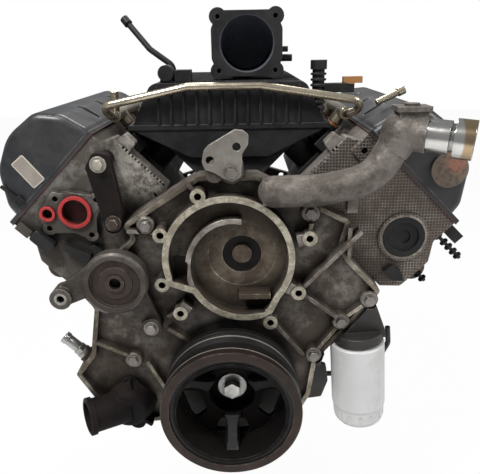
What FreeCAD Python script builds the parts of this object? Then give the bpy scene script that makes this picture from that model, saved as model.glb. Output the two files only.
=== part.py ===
"""V-six engine: ninety degree block, one overhead camshaft per bank, chain driven,
front cover with the coolant pump's volute, plastic intake, damper and fittings.

Frame: +Z up, +X to the right as seen from the engine's front, and the front faces -Y.
The origin is the centre of the crankshaft's rear flange face, on the crank axis.
A bank is drawn upright in its own frame (X outboard, Z away from the crank) and then leant over.
All lengths are in millimetres and all angles in degrees.
"""
import FreeCAD, Part
import math
import os
from FreeCAD import Vector

os.makedirs("parts", exist_ok=True)

# Cylinders and crank train
bore = 93.0
stroke = 90.8
cylinder_pitch = 106.0
bank_angle = 45.0
bank_offset = 24.0
deck_height = 238.0
gasket_thickness = 1.0
rod_length = 155.5
crown_height = 36.5
skirt_length = 24.0
piston_clearance = 0.06
main_radius = 31.75
pin_radius = 28.95
main_width = 27.0
main_housing_radius = 35.0
pin_split = 30.0
counterweight_radius = 79.0
crankcase_radius = 95.0
running_clearance = 0.04
rear_land_radius = 42.5
nose_radius = 19.0
piston_pin_radius = 11.0

# Stations along the engine, rear to front
rear_main_y = -41.5
block_rear_y = -6.0
front_bulkhead = 18.5
cover_depth = 77.0
pump_face_depth = 25.0
cover_skin = 6.0
damper_depth = 66.0
damper_gap = 4.0

# Castings
skirt_half_width = 108.0
bedplate_height = 62.0
bank_outer = 60.0
bank_inner = 62.0
valley_floor = 150.0
head_height = 132.0
head_inner = 112.0
head_outer = 62.0
exhaust_face = 80.0
head_front_wall = 5.5
cam_cavity = 19.5
valve_cover_height = 81.0
valve_cover_wall = 3.5
pan_depth = 112.0
pan_wall = 2.5

# Valve gear and timing drive
cam_height = 124.0
cam_journal = 15.0
cam_base = 17.0
cam_lift = 6.5
cam_nose = 8.0
lobe_width = 12.0
roller_radius = 8.0
valve_tilt = 12.0
valve_length = 98.0
chain_pitch = 8.0
crank_teeth = 19
idler_teeth = 38
cam_teeth = 32
idler_height = 95.0
gear_module = 2.0
balance_gear_teeth = 18
idler_gear_teeth = 36
balance_radius = 14.0
chain_band = 7.0
chain_width = 9.0

# Damper and belt drive
damper_radius = 92.5
damper_rubber = 5.0
hub_seal_radius = 25.0
tensioner_radius = 43.0
tensioner_x = -149.0
tensioner_z = 161.0

# Front cover and pump volute
volute_radius = 86.0
volute_wall = 8.5
volute_x = 0.7
volute_z = 188.0
impeller_x = 16.5
cover_bolt_radius = 4.0

# Oil filter
filter_radius = 38.0
filter_length = 140.0

# Worked out from the driving sizes
crank_throw = stroke / 2
main_y = [rear_main_y - cylinder_pitch * (3 - i) for i in range(4)]
block_front_y = main_y[0] - front_bulkhead
pair_y = [(main_y[i] + main_y[i + 1]) / 2 for i in range(3)]
right_cylinder_y = [y - bank_offset / 2 for y in pair_y]
head_bottom = deck_height + gasket_thickness
head_top = head_bottom + head_height
cam_t = head_bottom + cam_height
left_row_y = block_front_y - 16.0
right_row_y = left_row_y - bank_offset
primary_row_y = (left_row_y + right_row_y) / 2
gear_row_y = block_front_y - 5.5
gear_width = 7.0
head_front_y = right_row_y - head_front_wall - 6.5
head_rear_y = right_cylinder_y[2] + 61.0
cover_front_y = block_front_y - cover_depth
pump_face_y = cover_front_y - pump_face_depth
balance_height = idler_height + gear_module * (balance_gear_teeth + idler_gear_teeth) / 2
crank_phase = [0.0, 120.0, 240.0]
diagonal = math.sqrt(0.5)


# Small shape makers used all through the model
def at_y(y):
    return lambda a, b: Vector(a, y, b)


def at_z(z):
    return lambda a, b: Vector(a, b, z)


def outline(points, place):
    """Closed wire through points (a, b) or (a, b, corner radius)."""
    count = len(points)
    starts, mids, ends = [], [], []
    for i, point in enumerate(points):
        here = place(point[0], point[1])
        radius = point[2] if len(point) > 2 else 0
        if radius == 0:
            starts.append(here)
            mids.append(None)
            ends.append(here)
            continue
        before = place(*points[i - 1][:2]) - here
        after = place(*points[(i + 1) % count][:2]) - here
        before.normalize()
        after.normalize()
        half = before.getAngle(after) / 2
        middle = before + after
        middle.normalize()
        starts.append(here + before * (radius / math.tan(half)))
        ends.append(here + after * (radius / math.tan(half)))
        mids.append(here + middle * (radius / math.sin(half) - radius))
    edges = []
    for i in range(count):
        if mids[i] is not None:
            edges.append(Part.Arc(starts[i], mids[i], ends[i]).toShape())
        following = starts[(i + 1) % count]
        if (ends[i] - following).Length > 1e-5:
            edges.append(Part.LineSegment(ends[i], following).toShape())
    return Part.Wire(edges)


def prism(points, y0, y1):
    """Outline in X and Z, drawn out along Y."""
    return Part.Face(outline(points, at_y(y0))).extrude(Vector(0, y1 - y0, 0))


def rod(x, z, radius, y0, y1):
    """Round bar along Y."""
    return Part.makeCylinder(radius, abs(y1 - y0), Vector(x, min(y0, y1), z), Vector(0, 1, 0))


def bar(start, end, radius):
    """Round bar from one point to another."""
    start, end = Vector(*start), Vector(*end)
    return Part.makeCylinder(radius, (end - start).Length, start, end - start)


def cone(start, end, radius0, radius1):
    start, end = Vector(*start), Vector(*end)
    return Part.makeCone(radius0, radius1, (end - start).Length, start, end - start)


def ring(x, z, outer, inner, y0, y1):
    return rod(x, z, outer, y0, y1).cut(rod(x, z, inner, y0, y1))


def turned(profile, x=0.0, z=0.0):
    """Closed (radius, y) profile spun round the line along Y through (x, z)."""
    wire = outline(profile, lambda r, y: Vector(x + r, y, z))
    return Part.Face(wire).revolve(Vector(x, 0, z), Vector(0, 1, 0), 360)


def block_of(x0, x1, y0, y1, z0, z1):
    return Part.makeBox(x1 - x0, y1 - y0, z1 - z0, Vector(x0, y0, z0))


def joined(shapes):
    shapes = list(shapes)
    return shapes[0].fuse(shapes[1:]).removeSplitter() if len(shapes) > 1 else shapes[0]


def turned_round_y(shape, angle, x=0.0, z=0.0):
    """Copy turned about the line along Y through (x, z); positive lifts +X towards -Z."""
    copy = shape.copy()
    copy.rotate(Vector(x, 0, z), Vector(0, 1, 0), angle)
    return copy


def moved(shape, x, y, z):
    copy = shape.copy()
    copy.translate(Vector(x, y, z))
    return copy


def on_right(shape):
    """From a bank's upright frame to the bank at +X."""
    return turned_round_y(shape, bank_angle)


def on_left(shape):
    """The same for the bank at -X, which stands further back by the rod offset."""
    return moved(on_right(shape).mirror(Vector(0, 0, 0), Vector(1, 0, 0)), 0, bank_offset, 0)


def swept_tube(points, bends, radius):
    """Solid round tube along straight runs with tangent arcs of the given radii."""
    points = [Vector(*p) for p in points]
    edges, start = [], points[0]
    for i in range(1, len(points) - 1):
        before = points[i - 1] - points[i]
        after = points[i + 1] - points[i]
        before.normalize()
        after.normalize()
        half = before.getAngle(after) / 2
        middle = before + after
        middle.normalize()
        bend = bends[i - 1]
        entry = points[i] + before * (bend / math.tan(half))
        leave = points[i] + after * (bend / math.tan(half))
        top = points[i] + middle * (bend / math.sin(half) - bend)
        edges.append(Part.LineSegment(start, entry).toShape())
        edges.append(Part.Arc(entry, top, leave).toShape())
        start = leave
    edges.append(Part.LineSegment(start, points[-1]).toShape())
    first = points[1] - points[0]
    profile = Part.Wire(Part.makeCircle(radius, points[0], first))
    return Part.Wire(edges).makePipeShell([profile], True, True)


def hex_bolt(x, z, face_y, size=8.0, length=25.0, flange=1.35):
    """Flanged hex bolt screwed in along +Y, its flange resting on face_y."""
    across = size * 1.55
    corner = across / math.sqrt(3)
    head = prism([(x + corner * math.cos(math.radians(a)), z + corner * math.sin(math.radians(a)))
                  for a in range(0, 360, 60)], face_y - size * 0.85, face_y - 1.5)
    washer = rod(x, z, size * flange, face_y - 1.5, face_y)
    shank = rod(x, z, size / 2, face_y, face_y + length)
    return joined([head, washer, shank])


def turn_point(axis, radius, degrees):
    """Vector of the given length square to an axis that lies in X and Z."""
    across = Vector(axis.z, 0, -axis.x)
    angle = math.radians(degrees)
    return across * (radius * math.cos(angle)) + Vector(0, 1, 0) * (radius * math.sin(angle))


def save(name, solids):
    shape = solids if isinstance(solids, Part.Shape) else Part.makeCompound(list(solids))
    shape.exportStep("parts/%s.step" % name)


# Bolts that hold the front cover: x, z
cover_bolt_places = [(151.8, 88.5), (115.5, 36.8), (188.6, 121.5), (-140.0, 31.4), (-172.0, 118.0),
                     (-108.0, 232.0), (106.0, 246.0)]
pump_ears = [(-37.3, 273.5), (-87.6, 222.7), (-89.6, 153.5), (-67.4, 111.1),
             (53.7, 95.9), (91.1, 139.3), (104.1, 215.8)]
lifting_bolt = (5.3, 303.1)
tensioner_lug = (-108.3, 89.2)
strut_bolts = [(-165.0, 310.7), (-152.8, 231.7)]
filter_x = 183.0
filter_y = block_front_y - 77.0


# Crank train
def web(angles, y0, y1, counterweight):
    """Crank web over one or two pins, with a counterweight sector opposite."""
    pieces = []
    for angle in angles:
        pin = rod(0, crank_throw, pin_radius + 5.0, y0, y1)
        neck = prism([(-36, 0), (36, 0), (pin_radius + 1, crank_throw), (-pin_radius - 1, crank_throw)], y0,
                     y1)
        pieces += [turned_round_y(pin, angle), turned_round_y(neck, angle)]
    pieces.append(rod(0, 0, main_radius + 8.0, y0, y1))
    if counterweight:
        middle = sum(angles) / len(angles)
        reach = counterweight_radius + 20
        sector = prism([(-30, 12), (30, 12), (reach, -reach * 0.45), (reach, -reach), (-reach, -reach),
                        (-reach, -reach * 0.45)], y0, y1)
        sector = sector.common(rod(0, 0, counterweight_radius, y0, y1))
        pieces.append(turned_round_y(sector, middle))
    return joined(pieces)


def crankshaft():
    journal_end = main_width / 2
    pin_reach = 23.0
    split_web = 1.5
    flange_bolts = 8
    solids = [rod(0, 0, main_radius, y - journal_end, y + journal_end) for y in main_y]
    for i, y in enumerate(pair_y):
        right, left = crank_phase[i], crank_phase[i] + pin_split
        solids.append(web([right], main_y[i] + journal_end, y - pin_reach, True))
        solids.append(web([left], y + pin_reach, main_y[i + 1] - journal_end, True))
        solids.append(web([right, left], y - split_web, y + split_web, False))
        solids.append(turned_round_y(rod(0, crank_throw, pin_radius, y - pin_reach, y - split_web), right))
        solids.append(turned_round_y(rod(0, crank_throw, pin_radius, y + split_web, y + pin_reach), left))
    solids.append(rod(0, 0, rear_land_radius, main_y[3] + journal_end, 0))
    solids.append(rod(0, 0, nose_radius, nose_end_y, main_y[0] - journal_end))
    shaft = joined(solids)
    holes = [rod(0, 0, pilot_radius, -pilot_depth, 1),
             rod(0, 0, crank_bolt_radius, nose_end_y - 1, nose_end_y + 62)]
    for i in range(flange_bolts):
        angle = math.radians(360 / flange_bolts * i)
        holes.append(rod(flange_pcd / 2 * math.cos(angle), flange_pcd / 2 * math.sin(angle),
                         flange_hole_radius, -18, 1))
    return shaft.cut(holes)


pilot_radius = 17.5
pilot_depth = 5.5
flange_pcd = 64.0
flange_hole_radius = 4.5
crank_bolt_radius = 7.0
nose_end_y = cover_front_y - 25.0
hub_front_y = nose_end_y - 1.0
damper_rear_y = cover_front_y - damper_gap - pump_face_depth
damper_front_y = damper_rear_y - damper_depth
hub_rear_y = primary_row_y - 13.0
groove_count = 6
groove_pitch = 3.56
smooth_band = 25.0


def damper_hub():
    """Cast hub: seal sleeve on the nose, a dished web with five windows and an outer rim."""
    rim_inner = damper_radius - 21.0
    rim_outer = damper_radius - 12.0 - damper_rubber
    web_y = damper_rear_y - 12.0
    sleeve = ring(0, 0, hub_seal_radius, nose_radius, hub_front_y + 6, hub_rear_y)
    boss = turned([(nose_radius, hub_front_y + 6), (nose_radius, hub_front_y),
                   (hub_seal_radius + 5, hub_front_y),
                   (hub_seal_radius + 7, web_y - 4), (hub_seal_radius + 14, web_y - 4),
                   (hub_seal_radius + 14, web_y + 5), (hub_seal_radius, hub_front_y + 10)])
    disc = ring(0, 0, rim_inner + 1, hub_seal_radius + 10, web_y - 4, web_y + 5)
    rim = ring(0, 0, rim_outer, rim_inner, damper_front_y + 1.5, damper_rear_y)
    windows = []
    for i in range(5):
        window = prism([(-17, 42, 5), (17, 42, 5), (27, 66, 6), (-27, 66, 6)], web_y - 10, web_y + 12)
        windows.append(turned_round_y(window, 36 + 72 * i))
    return joined([sleeve, boss, disc.cut(windows), rim])


def damper_rubber_ring():
    return ring(0, 0, damper_radius - 12.0, damper_radius - 12.0 - damper_rubber, damper_front_y + 3,
                damper_rear_y - 1)


def damper_ring():
    """Outer inertia ring with the belt grooves behind a plain band."""
    inner = damper_radius - 12.0
    groove_start = damper_front_y + smooth_band
    profile = [(inner, damper_rear_y), (inner, damper_front_y, 1.0), (damper_radius, damper_front_y, 1.5),
               (damper_radius, groove_start), (damper_radius - 4.5, groove_start + 2.5)]
    y = groove_start + 5
    for i in range(groove_count):
        profile += [(damper_radius - 4.5, y), (damper_radius - 0.8, y + groove_pitch * 0.5)]
        y += groove_pitch
    profile += [(damper_radius - 4.5, y), (damper_radius - 4.5, y + 2), (damper_radius - 0.5, y + 4),
                (damper_radius - 0.5, damper_rear_y, 1.5)]
    return turned(profile)


def crank_bolt():
    head_depth = 13.0
    washer_radius = 20.0
    washer = rod(0, 0, washer_radius, hub_front_y - 4, hub_front_y)
    corner = 21.0 / math.sqrt(3)
    head = prism([(corner * math.cos(math.radians(a)), corner * math.sin(math.radians(a)))
                  for a in range(30, 390, 60)], hub_front_y - 4 - head_depth, hub_front_y - 4)
    shank = rod(0, 0, crank_bolt_radius, hub_front_y, nose_end_y + 60)
    return joined([washer, head, shank])


def toothed_wheel(x, z, teeth, y0, y1, bore_radius, phase=0.0):
    """Chain sprocket with one flat-topped tooth per pitch."""
    pitch_radius = chain_pitch / (2 * math.sin(math.pi / teeth))
    root, tip = pitch_radius - 2.2, pitch_radius + 1.6
    step = 360.0 / teeth
    points = []
    for i in range(teeth):
        for share, radius in ((-0.34, root), (-0.16, tip), (0.16, tip), (0.34, root)):
            angle = math.radians(phase + step * (i + share))
            points.append((x + radius * math.sin(angle), z + radius * math.cos(angle)))
    return prism(points, y0, y1).cut(rod(x, z, bore_radius, y0 - 1, y1 + 1))


def involute_gear(x, z, teeth, y0, y1, bore_radius, phase):
    """Spur gear, twenty degree pressure angle, each flank one arc through three involute points."""
    pitch = gear_module * teeth / 2
    base = pitch * math.cos(math.radians(20))
    tip, root = pitch + gear_module * 0.9, pitch - gear_module * 1.25
    backlash = 0.14

    def flank_angle(radius):
        press = math.acos(min(1.0, base / max(radius, base)))
        return math.tan(press) - press

    half = math.pi / (2 * teeth) - backlash / pitch + flank_angle(pitch)
    edges = []
    first = None
    for i in range(teeth):
        centre = math.radians(phase) + 2 * math.pi * i / teeth
        low = max(base, root + 0.05)
        marks = [low, (low + tip) / 2, tip]

        def spot(radius, side):
            angle = centre + side * (half - flank_angle(radius))
            return Vector(x + radius * math.sin(angle), y0, z + radius * math.cos(angle))

        def foot(side):
            angle = centre + side * half
            return Vector(x + root * math.sin(angle), y0, z + root * math.cos(angle))

        up = [spot(radius, -1) for radius in marks]
        down = [spot(radius, 1) for radius in reversed(marks)]
        if first is None:
            first = foot(-1)
        else:
            edges.append(Part.LineSegment(last_foot, foot(-1)).toShape())
        edges.append(Part.LineSegment(foot(-1), up[0]).toShape())
        edges.append(Part.Arc(*up).toShape())
        edges.append(Part.LineSegment(up[2], down[0]).toShape())
        edges.append(Part.Arc(*down).toShape())
        edges.append(Part.LineSegment(down[2], foot(1)).toShape())
        last_foot = foot(1)
    edges.append(Part.LineSegment(last_foot, first).toShape())
    wheel = Part.Face(Part.Wire(edges)).extrude(Vector(0, y1 - y0, 0))
    return wheel.cut(rod(x, z, bore_radius, y0 - 1, y1 + 1))


sprocket_half = 3.0


def crank_sprocket():
    wheel = toothed_wheel(0, 0, crank_teeth, primary_row_y - sprocket_half, primary_row_y + sprocket_half,
                          nose_radius)
    collar = ring(0, 0, nose_radius + 3.0, nose_radius, hub_rear_y, primary_row_y + 12)
    return joined([wheel, collar])


idler_pin_radius = 12.0
idler_hub_radius = 20.0


def idler_sprocket():
    """Three rows of teeth and the balance shaft's drive gear on one hub."""
    bore_radius = idler_pin_radius + running_clearance
    rows = [(cam_teeth, left_row_y), (idler_teeth, primary_row_y), (cam_teeth, right_row_y)]
    pieces = [toothed_wheel(0, idler_height, teeth, y - sprocket_half, y + sprocket_half, bore_radius)
              for teeth, y in rows]
    gear_y0 = gear_row_y - gear_width / 2
    phase = 180.0 / idler_gear_teeth
    pieces.append(involute_gear(0, idler_height, idler_gear_teeth, gear_y0, gear_y0 + gear_width,
                                bore_radius, phase))
    pieces.append(ring(0, idler_height, idler_hub_radius, bore_radius, right_row_y - 6, gear_y0 + gear_width))
    return joined(pieces)


def balance_shaft():
    """Shaft in the block's valley, with an offset weight at each end and a gear in front."""
    gear_y0 = gear_row_y - gear_width / 2
    rear = main_y[3] - 10
    shaft = rod(0, balance_height, balance_radius, block_front_y, rear)
    nose = rod(0, balance_height, 9.0, gear_y0, block_front_y)
    gear = involute_gear(0, balance_height, balance_gear_teeth, gear_y0, gear_y0 + gear_width, 8.9, 180.0)
    weights = []
    for y0, angle in ((main_y[0] + 32, 0), (rear - 92, 180)):
        weight = rod(0, balance_height, balance_radius + 9.0, y0, y0 + 60)
        half = block_of(-40, 40, y0 - 1, y0 + 61, balance_height, balance_height + 40)
        weights.append(turned_round_y(weight.common(half), angle, 0, balance_height))
    return joined([shaft, nose, gear] + weights)


def piston_position(i, side):
    """Distance of a piston pin from the crank axis when the crank is at rest."""
    pin_angle = crank_phase[i] + (pin_split if side < 0 else 0)
    axis_angle = side * bank_angle
    swing = math.radians(pin_angle - axis_angle)
    return crank_throw * math.cos(swing) + math.sqrt(rod_length ** 2 - (crank_throw * math.sin(swing)) ** 2)


def cylinder_y(i, side):
    return right_cylinder_y[i] + (bank_offset if side < 0 else 0)


def leant(shape, side):
    """From the frame of one cylinder, upright at +Z, to its bank; Y stays as it is."""
    return turned_round_y(shape, side * bank_angle)


def piston(i, side):
    """Piston with three ring grooves, its rings and its pin."""
    y, pin_t = cylinder_y(i, side), piston_position(i, side)
    radius = bore / 2 - piston_clearance
    ring_depth = 3.6
    inner_radius = radius - 7.0
    top, bottom = pin_t + crown_height, pin_t - skirt_length
    body = Part.makeCylinder(radius, top - bottom, Vector(0, y, bottom))
    hollow = Part.makeCylinder(inner_radius, crown_height + skirt_length - 9, Vector(0, y, bottom))
    bosses = block_of(-16, 16, y - radius + 2, y + radius - 2, bottom + 6, top - 8)
    rod_slot = block_of(-30, 30, y - 13, y + 13, bottom - 1, top - 9)
    reliefs = [block_of(-60, 60, y + s * (radius - 9) - 9 * (s < 0), y + s * (radius - 9) + 9 * (s > 0),
                        bottom - 1, pin_t + 8) for s in (-1, 1)]
    body = body.cut(hollow).fuse(bosses.common(body)).cut([rod_slot] + reliefs)
    pin_bore = Part.makeCylinder(piston_pin_radius, 120, Vector(0, y - 60, pin_t), Vector(0, 1, 0))
    body = body.cut(pin_bore)
    grooves, rings = [], []
    for offset, height in ((5.0, 1.5), (10.5, 1.5), (16.0, 3.0)):
        level = top - offset - height
        groove = Part.makeCylinder(radius + 1, height, Vector(0, y, level))
        groove = groove.cut(Part.makeCylinder(radius - ring_depth, height, Vector(0, y, level)))
        grooves.append(groove)
        piece = Part.makeCylinder(bore / 2 - 0.02, height, Vector(0, y, level))
        rings.append(piece.cut(Part.makeCylinder(radius - ring_depth, height, Vector(0, y, level))))
    body = body.cut(grooves)
    pin_half = radius - 10.0
    pin = Part.makeCylinder(piston_pin_radius, 2 * pin_half, Vector(0, y - pin_half, pin_t), Vector(0, 1, 0))
    return [leant(shape, side) for shape in [body, pin] + rings]


def connecting_rod(i, side):
    """Forged rod from its crank pin to its piston pin, with a two-bolt cap."""
    width = 20.6
    y = cylinder_y(i, side)
    pin_angle = math.radians(crank_phase[i] + (pin_split if side < 0 else 0))
    big = Vector(crank_throw * math.sin(pin_angle), y, crank_throw * math.cos(pin_angle))
    lean = math.radians(side * bank_angle)
    reach = piston_position(i, side)
    small = Vector(reach * math.sin(lean), y, reach * math.cos(lean))
    y0, y1 = y - width / 2, y + width / 2
    big_bore, small_bore = pin_radius + running_clearance, piston_pin_radius + running_clearance
    shell = 8.0
    eye = rod(0, 0, big_bore + shell, y0, y1)
    ears = block_of(-big_bore - 13, big_bore + 13, y0 + 2, y1 - 2, -14, 14)
    shank = prism([(-17, 26), (17, 26), (10, rod_length - 12), (-10, rod_length - 12)], y0 + 3, y1 - 3)
    panel = prism([(-8, 46), (8, 46), (5, rod_length - 24), (-5, rod_length - 24)], y0 + 2, y0 + 7)
    small_eye = rod(0, rod_length, small_bore + 5.5, y0 + 1, y1 - 1)
    body = joined([eye, ears, shank, small_eye])
    body = body.cut([panel, moved(panel, 0, width - 9, 0), rod(0, 0, big_bore, y0 - 1, y1 + 1),
                     rod(0, rod_length, small_bore, y0 - 1, y1 + 1)])
    turn = math.degrees(math.atan2(small.x - big.x, small.z - big.z))
    return moved(turned_round_y(body, turn), big.x, 0, big.z)


def main_bearings():
    """Split plain bearings, an upper and a lower half shell at each main journal."""
    halves = []
    half_width = 10.5
    for y in main_y:
        shell = ring(0, 0, main_housing_radius, main_radius + running_clearance, y - half_width,
                     y + half_width)
        upper = block_of(-50, 50, y - 20, y + 20, 0, 50)
        halves += [shell.common(upper), shell.cut(upper)]
    return halves


# Block, bedplate and pan
idler_pin_end = right_row_y - 6.3
rear_flange = 14.0
bulkhead_half = 12.0
pan_bolt_y = [block_front_y + 22 + 71 * i for i in range(6)]


def crank_bays():
    """Space swept by the throws, between the bulkheads."""
    return [rod(0, 0, crankcase_radius, main_y[i] + bulkhead_half, main_y[i + 1] - bulkhead_half)
            for i in range(3)]


def engine_block():
    deck_x = [(deck_height + w) * diagonal for w in (bank_outer, -bank_inner)]
    deck_z = [(deck_height - w) * diagonal for w in (bank_outer, -bank_inner)]
    low_t = 130.0
    foot = ((low_t + bank_outer) * diagonal, (low_t - bank_outer) * diagonal)
    notch = valley_floor - bank_inner / diagonal
    half = [(skirt_half_width, 0), (skirt_half_width, 28, 8), (foot[0], foot[1], 8), (deck_x[0], deck_z[0]),
            (deck_x[1], deck_z[1]), (notch, valley_floor, 6)]
    section = half + [(-p[0],) + tuple(p[1:]) for p in reversed(half)]
    body = prism(section, block_front_y, block_rear_y)
    tunnel = rod(0, balance_height, 32.0, block_front_y, main_y[3] + 6)
    deck_inner = (deck_height - 100) * diagonal
    roof = deck_height / diagonal - deck_inner
    plate = [(skirt_half_width, 0), (118, 12), (118, 30, 8), (204, 128), (deck_inner, roof)]
    front_plate = prism(plate + [(-p[0],) + tuple(p[1:]) for p in reversed(plate)],
                        block_front_y, block_front_y + 12)
    bell = [(128, 0), (150, 40, 20), (168, 120, 30), (120, 196, 30), (60, 214, 20)]
    rear_plate = prism(bell + [(-p[0],) + tuple(p[1:]) for p in reversed(bell)],
                       block_rear_y - rear_flange, block_rear_y)
    body = joined([body, tunnel, front_plate, rear_plate])
    holes = crank_bays()
    for side in (1, -1):
        for i in range(3):
            hole = Part.makeCylinder(bore / 2, deck_height, Vector(0, cylinder_y(i, side), 60))
            holes.append(leant(hole, side))
    holes += [rod(0, 0, main_housing_radius, y - bulkhead_half - 1, y + bulkhead_half + 1) for y in main_y]
    holes.append(rod(0, 0, main_housing_radius, block_front_y - 1, main_y[0]))
    holes.append(rod(0, 0, rear_seal_radius, main_y[3] + bulkhead_half, block_rear_y + 1))
    holes.append(rod(0, balance_height, balance_radius + running_clearance, block_front_y - 1, main_y[3] - 8))
    for y0 in (main_y[0] + 28, main_y[3] - 106):
        holes.append(rod(0, balance_height, balance_radius + 10.0, y0, y0 + 68))
    for x in (-1, 1):
        holes += [rod(x * px, pz, 5.5, block_rear_y - rear_flange - 1, block_rear_y + 1)
                  for px, pz in bell_holes]
    for x, z in cover_bolt_places:
        if abs(x) + z < deck_height / diagonal:
            holes.append(rod(x, z, cover_bolt_radius, block_front_y - 1, block_front_y + 10))
    body = body.cut(holes)
    pin = rod(0, idler_height, idler_pin_radius, idler_pin_end, block_front_y + 6)
    return joined([body, pin])


rear_seal_radius = 56.0
bell_holes = [(118, 14), (150, 108), (96, 194)]
pan_flange_z = -bedplate_height
pickup_y = block_front_y + 23.0
gallery_z = -48.0
gallery_radius = 6.0


def bedplate():
    """Lower crankcase with the four main caps cast in."""
    section = [(-skirt_half_width, 0), (skirt_half_width, 0), (skirt_half_width, -24, 8),
               (96, pan_flange_z), (-96, pan_flange_z), (-skirt_half_width, -24, 8)]
    body = prism(section, block_front_y, block_rear_y)
    holes = crank_bays()
    holes += [rod(0, 0, main_housing_radius, y - bulkhead_half - 1, y + bulkhead_half + 1) for y in main_y]
    holes.append(rod(0, 0, main_housing_radius, block_front_y - 1, main_y[0]))
    holes.append(rod(0, 0, rear_seal_radius, main_y[3] + bulkhead_half, block_rear_y + 1))
    holes.append(rod(0, gallery_z, gallery_radius, block_front_y - 1, pickup_y))
    holes.append(rod_up(0, pickup_y, gallery_radius, pan_flange_z - 1, gallery_z))
    return body.cut(holes)


def crank_seals():
    """Front seal in the cover and rear seal in the block, each a ring with a lip."""
    front = turned([(hub_seal_radius + 0.05, cover_front_y), (front_seal_radius, cover_front_y),
                    (front_seal_radius, cover_front_y + cover_skin), (hub_seal_radius + 5,
                                                                      cover_front_y + cover_skin),
                    (hub_seal_radius + 5, cover_front_y + 2.5), (hub_seal_radius + 0.05, cover_front_y + 4)])
    rear = ring(0, 0, rear_seal_radius, rear_land_radius + 0.05, main_y[3] + bulkhead_half + 3, block_rear_y)
    return [front, rear]


front_seal_radius = 33.0


def oil_pan():
    """Pressed pan: a shallow tray in front and the sump at the rear, with a bolting rim."""
    rim = block_of(-96, 96, block_front_y, block_rear_y, pan_flange_z - 6, pan_flange_z)

    def tub(inset):
        front, rear = block_front_y + 12 + inset, block_rear_y - 12 - inset
        step = block_front_y + 150
        low, shallow = pan_flange_z - pan_depth + inset, pan_flange_z - 42 + inset
        side = [(front, pan_flange_z), (front, shallow, 12), (step - 20 + inset, shallow, 20),
                (step + 30 + inset, low, 20), (rear - 6, low, 20), (rear, pan_flange_z)]
        wire = outline(side, lambda a, b: Vector(-84 + inset, a, b))
        return Part.Face(wire).extrude(Vector(168 - 2 * inset, 0, 0))

    outer, inner = tub(0), tub(pan_wall)
    drain = bar((0, block_rear_y - 20, pan_flange_z - pan_depth + 22),
                (0, block_rear_y - 2, pan_flange_z - pan_depth + 22), 9.0)
    mouth = block_of(-84 + pan_wall, 84 - pan_wall, block_front_y + 15, block_rear_y - 15,
                     pan_flange_z - 8, pan_flange_z + 1)
    return joined([rim, outer, drain]).cut([inner, mouth])


def oil_pump_housing():
    """Closed rotor pump body round the crank nose, bolted to the block's front face."""
    depth = 13.0
    body = prism([(-46, -34, 20), (46, -34, 20), (40, 30, 16), (-40, 30, 16)], block_front_y - depth,
                 block_front_y)
    neck = block_of(-20, 20, block_front_y - depth, block_front_y, -58, -30)
    gallery = rod(0, 0, nose_radius + 6.0, block_front_y - depth - 1, block_front_y + 1)
    return joined([body, neck]).cut(gallery)


def oil_pickup():
    """Suction tube from the pump body back to a strainer above the sump floor."""
    low = pan_flange_z - pan_depth
    mouth = (0, block_rear_y - 130, low + 20)
    level = pan_flange_z - 32
    tube = swept_tube([(0, pickup_y, pan_flange_z), (0, pickup_y, level), (0, mouth[1] - 60, level),
                       (0, mouth[1], low + 40), mouth], [10, 30, 14], 6.5)
    cup = cone((0, mouth[1], low + 20), (0, mouth[1], low + 9), 9.0, 30.0)
    return joined([tube, cup])


# Cylinder heads, drawn upright: X is w (outboard), Z is t (distance from the crank axis)
cavity_front_y = head_front_y + head_front_wall
cavity_rear_y = cavity_front_y + cam_cavity
bearing_width = 18.0
rear_wall = 20.0
rear_skin = 5.0
pocket_floor = head_bottom + 63.0
valve_foot_t = head_bottom + 14.0
valve_foot_w = 18.0
valve_shift = 12.0
intake_head_radius = 22.0
exhaust_head_radius = 18.5
stem_radius = 3.5
adjuster_radius = 6.0
adjuster_w = 8.0
plug_w = -12.0
plug_t = head_bottom + 13.0
plug_shift = -18.0
plug_lean = 55.0
intake_port_radius = 16.0
exhaust_port_radius = 14.0
port_flange_depth = 9.0
access_w = 27.4
access_t = 309.0
access_radius = 29.0
big_port = (-16.5, 319.0)
small_port = (12.4, 345.0)
big_port_radius = 18.0
small_port_radius = 7.0
port_flange_holes = [(-11.3, 351.0), (-50.0, 308.8), (27.9, 329.8), (-6.0, 281.2)]
rail_w = [-head_inner + 7, head_outer - 6]
bearing_spans = [(cavity_rear_y, cavity_rear_y + bearing_width)]
bearing_spans += [(y + (cylinder_pitch - bearing_width) / 2, y + (cylinder_pitch + bearing_width) / 2)
                  for y in right_cylinder_y[:2]]
bearing_spans.append((head_rear_y - rear_wall, head_rear_y - rear_skin))


def valve_axis(side_w, y):
    """Foot point and direction of a valve; side_w is -1 for intake and 1 for exhaust."""
    lean = math.radians(valve_tilt)
    foot = Vector(side_w * valve_foot_w, y - side_w * valve_shift, valve_foot_t)
    return foot, Vector(side_w * math.sin(lean), 0, math.cos(lean))


def along(foot, direction, start, end, radius0, radius1=None):
    """Round bar or cone on an axis between two distances from its foot."""
    point = foot + direction * start
    if radius1 is None or radius1 == radius0:
        return Part.makeCylinder(radius0, end - start, point, direction)
    return Part.makeCone(radius0, radius1, end - start, point, direction)


def plug_axis(y):
    lean = math.radians(plug_lean)
    return Vector(plug_w, y + plug_shift, plug_t), Vector(-math.sin(lean), 0, math.cos(lean))


intake_mouth = (-head_inner - 1, head_bottom + 48.0)
exhaust_mouth = (exhaust_face + 1, head_bottom + 43.0)


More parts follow.
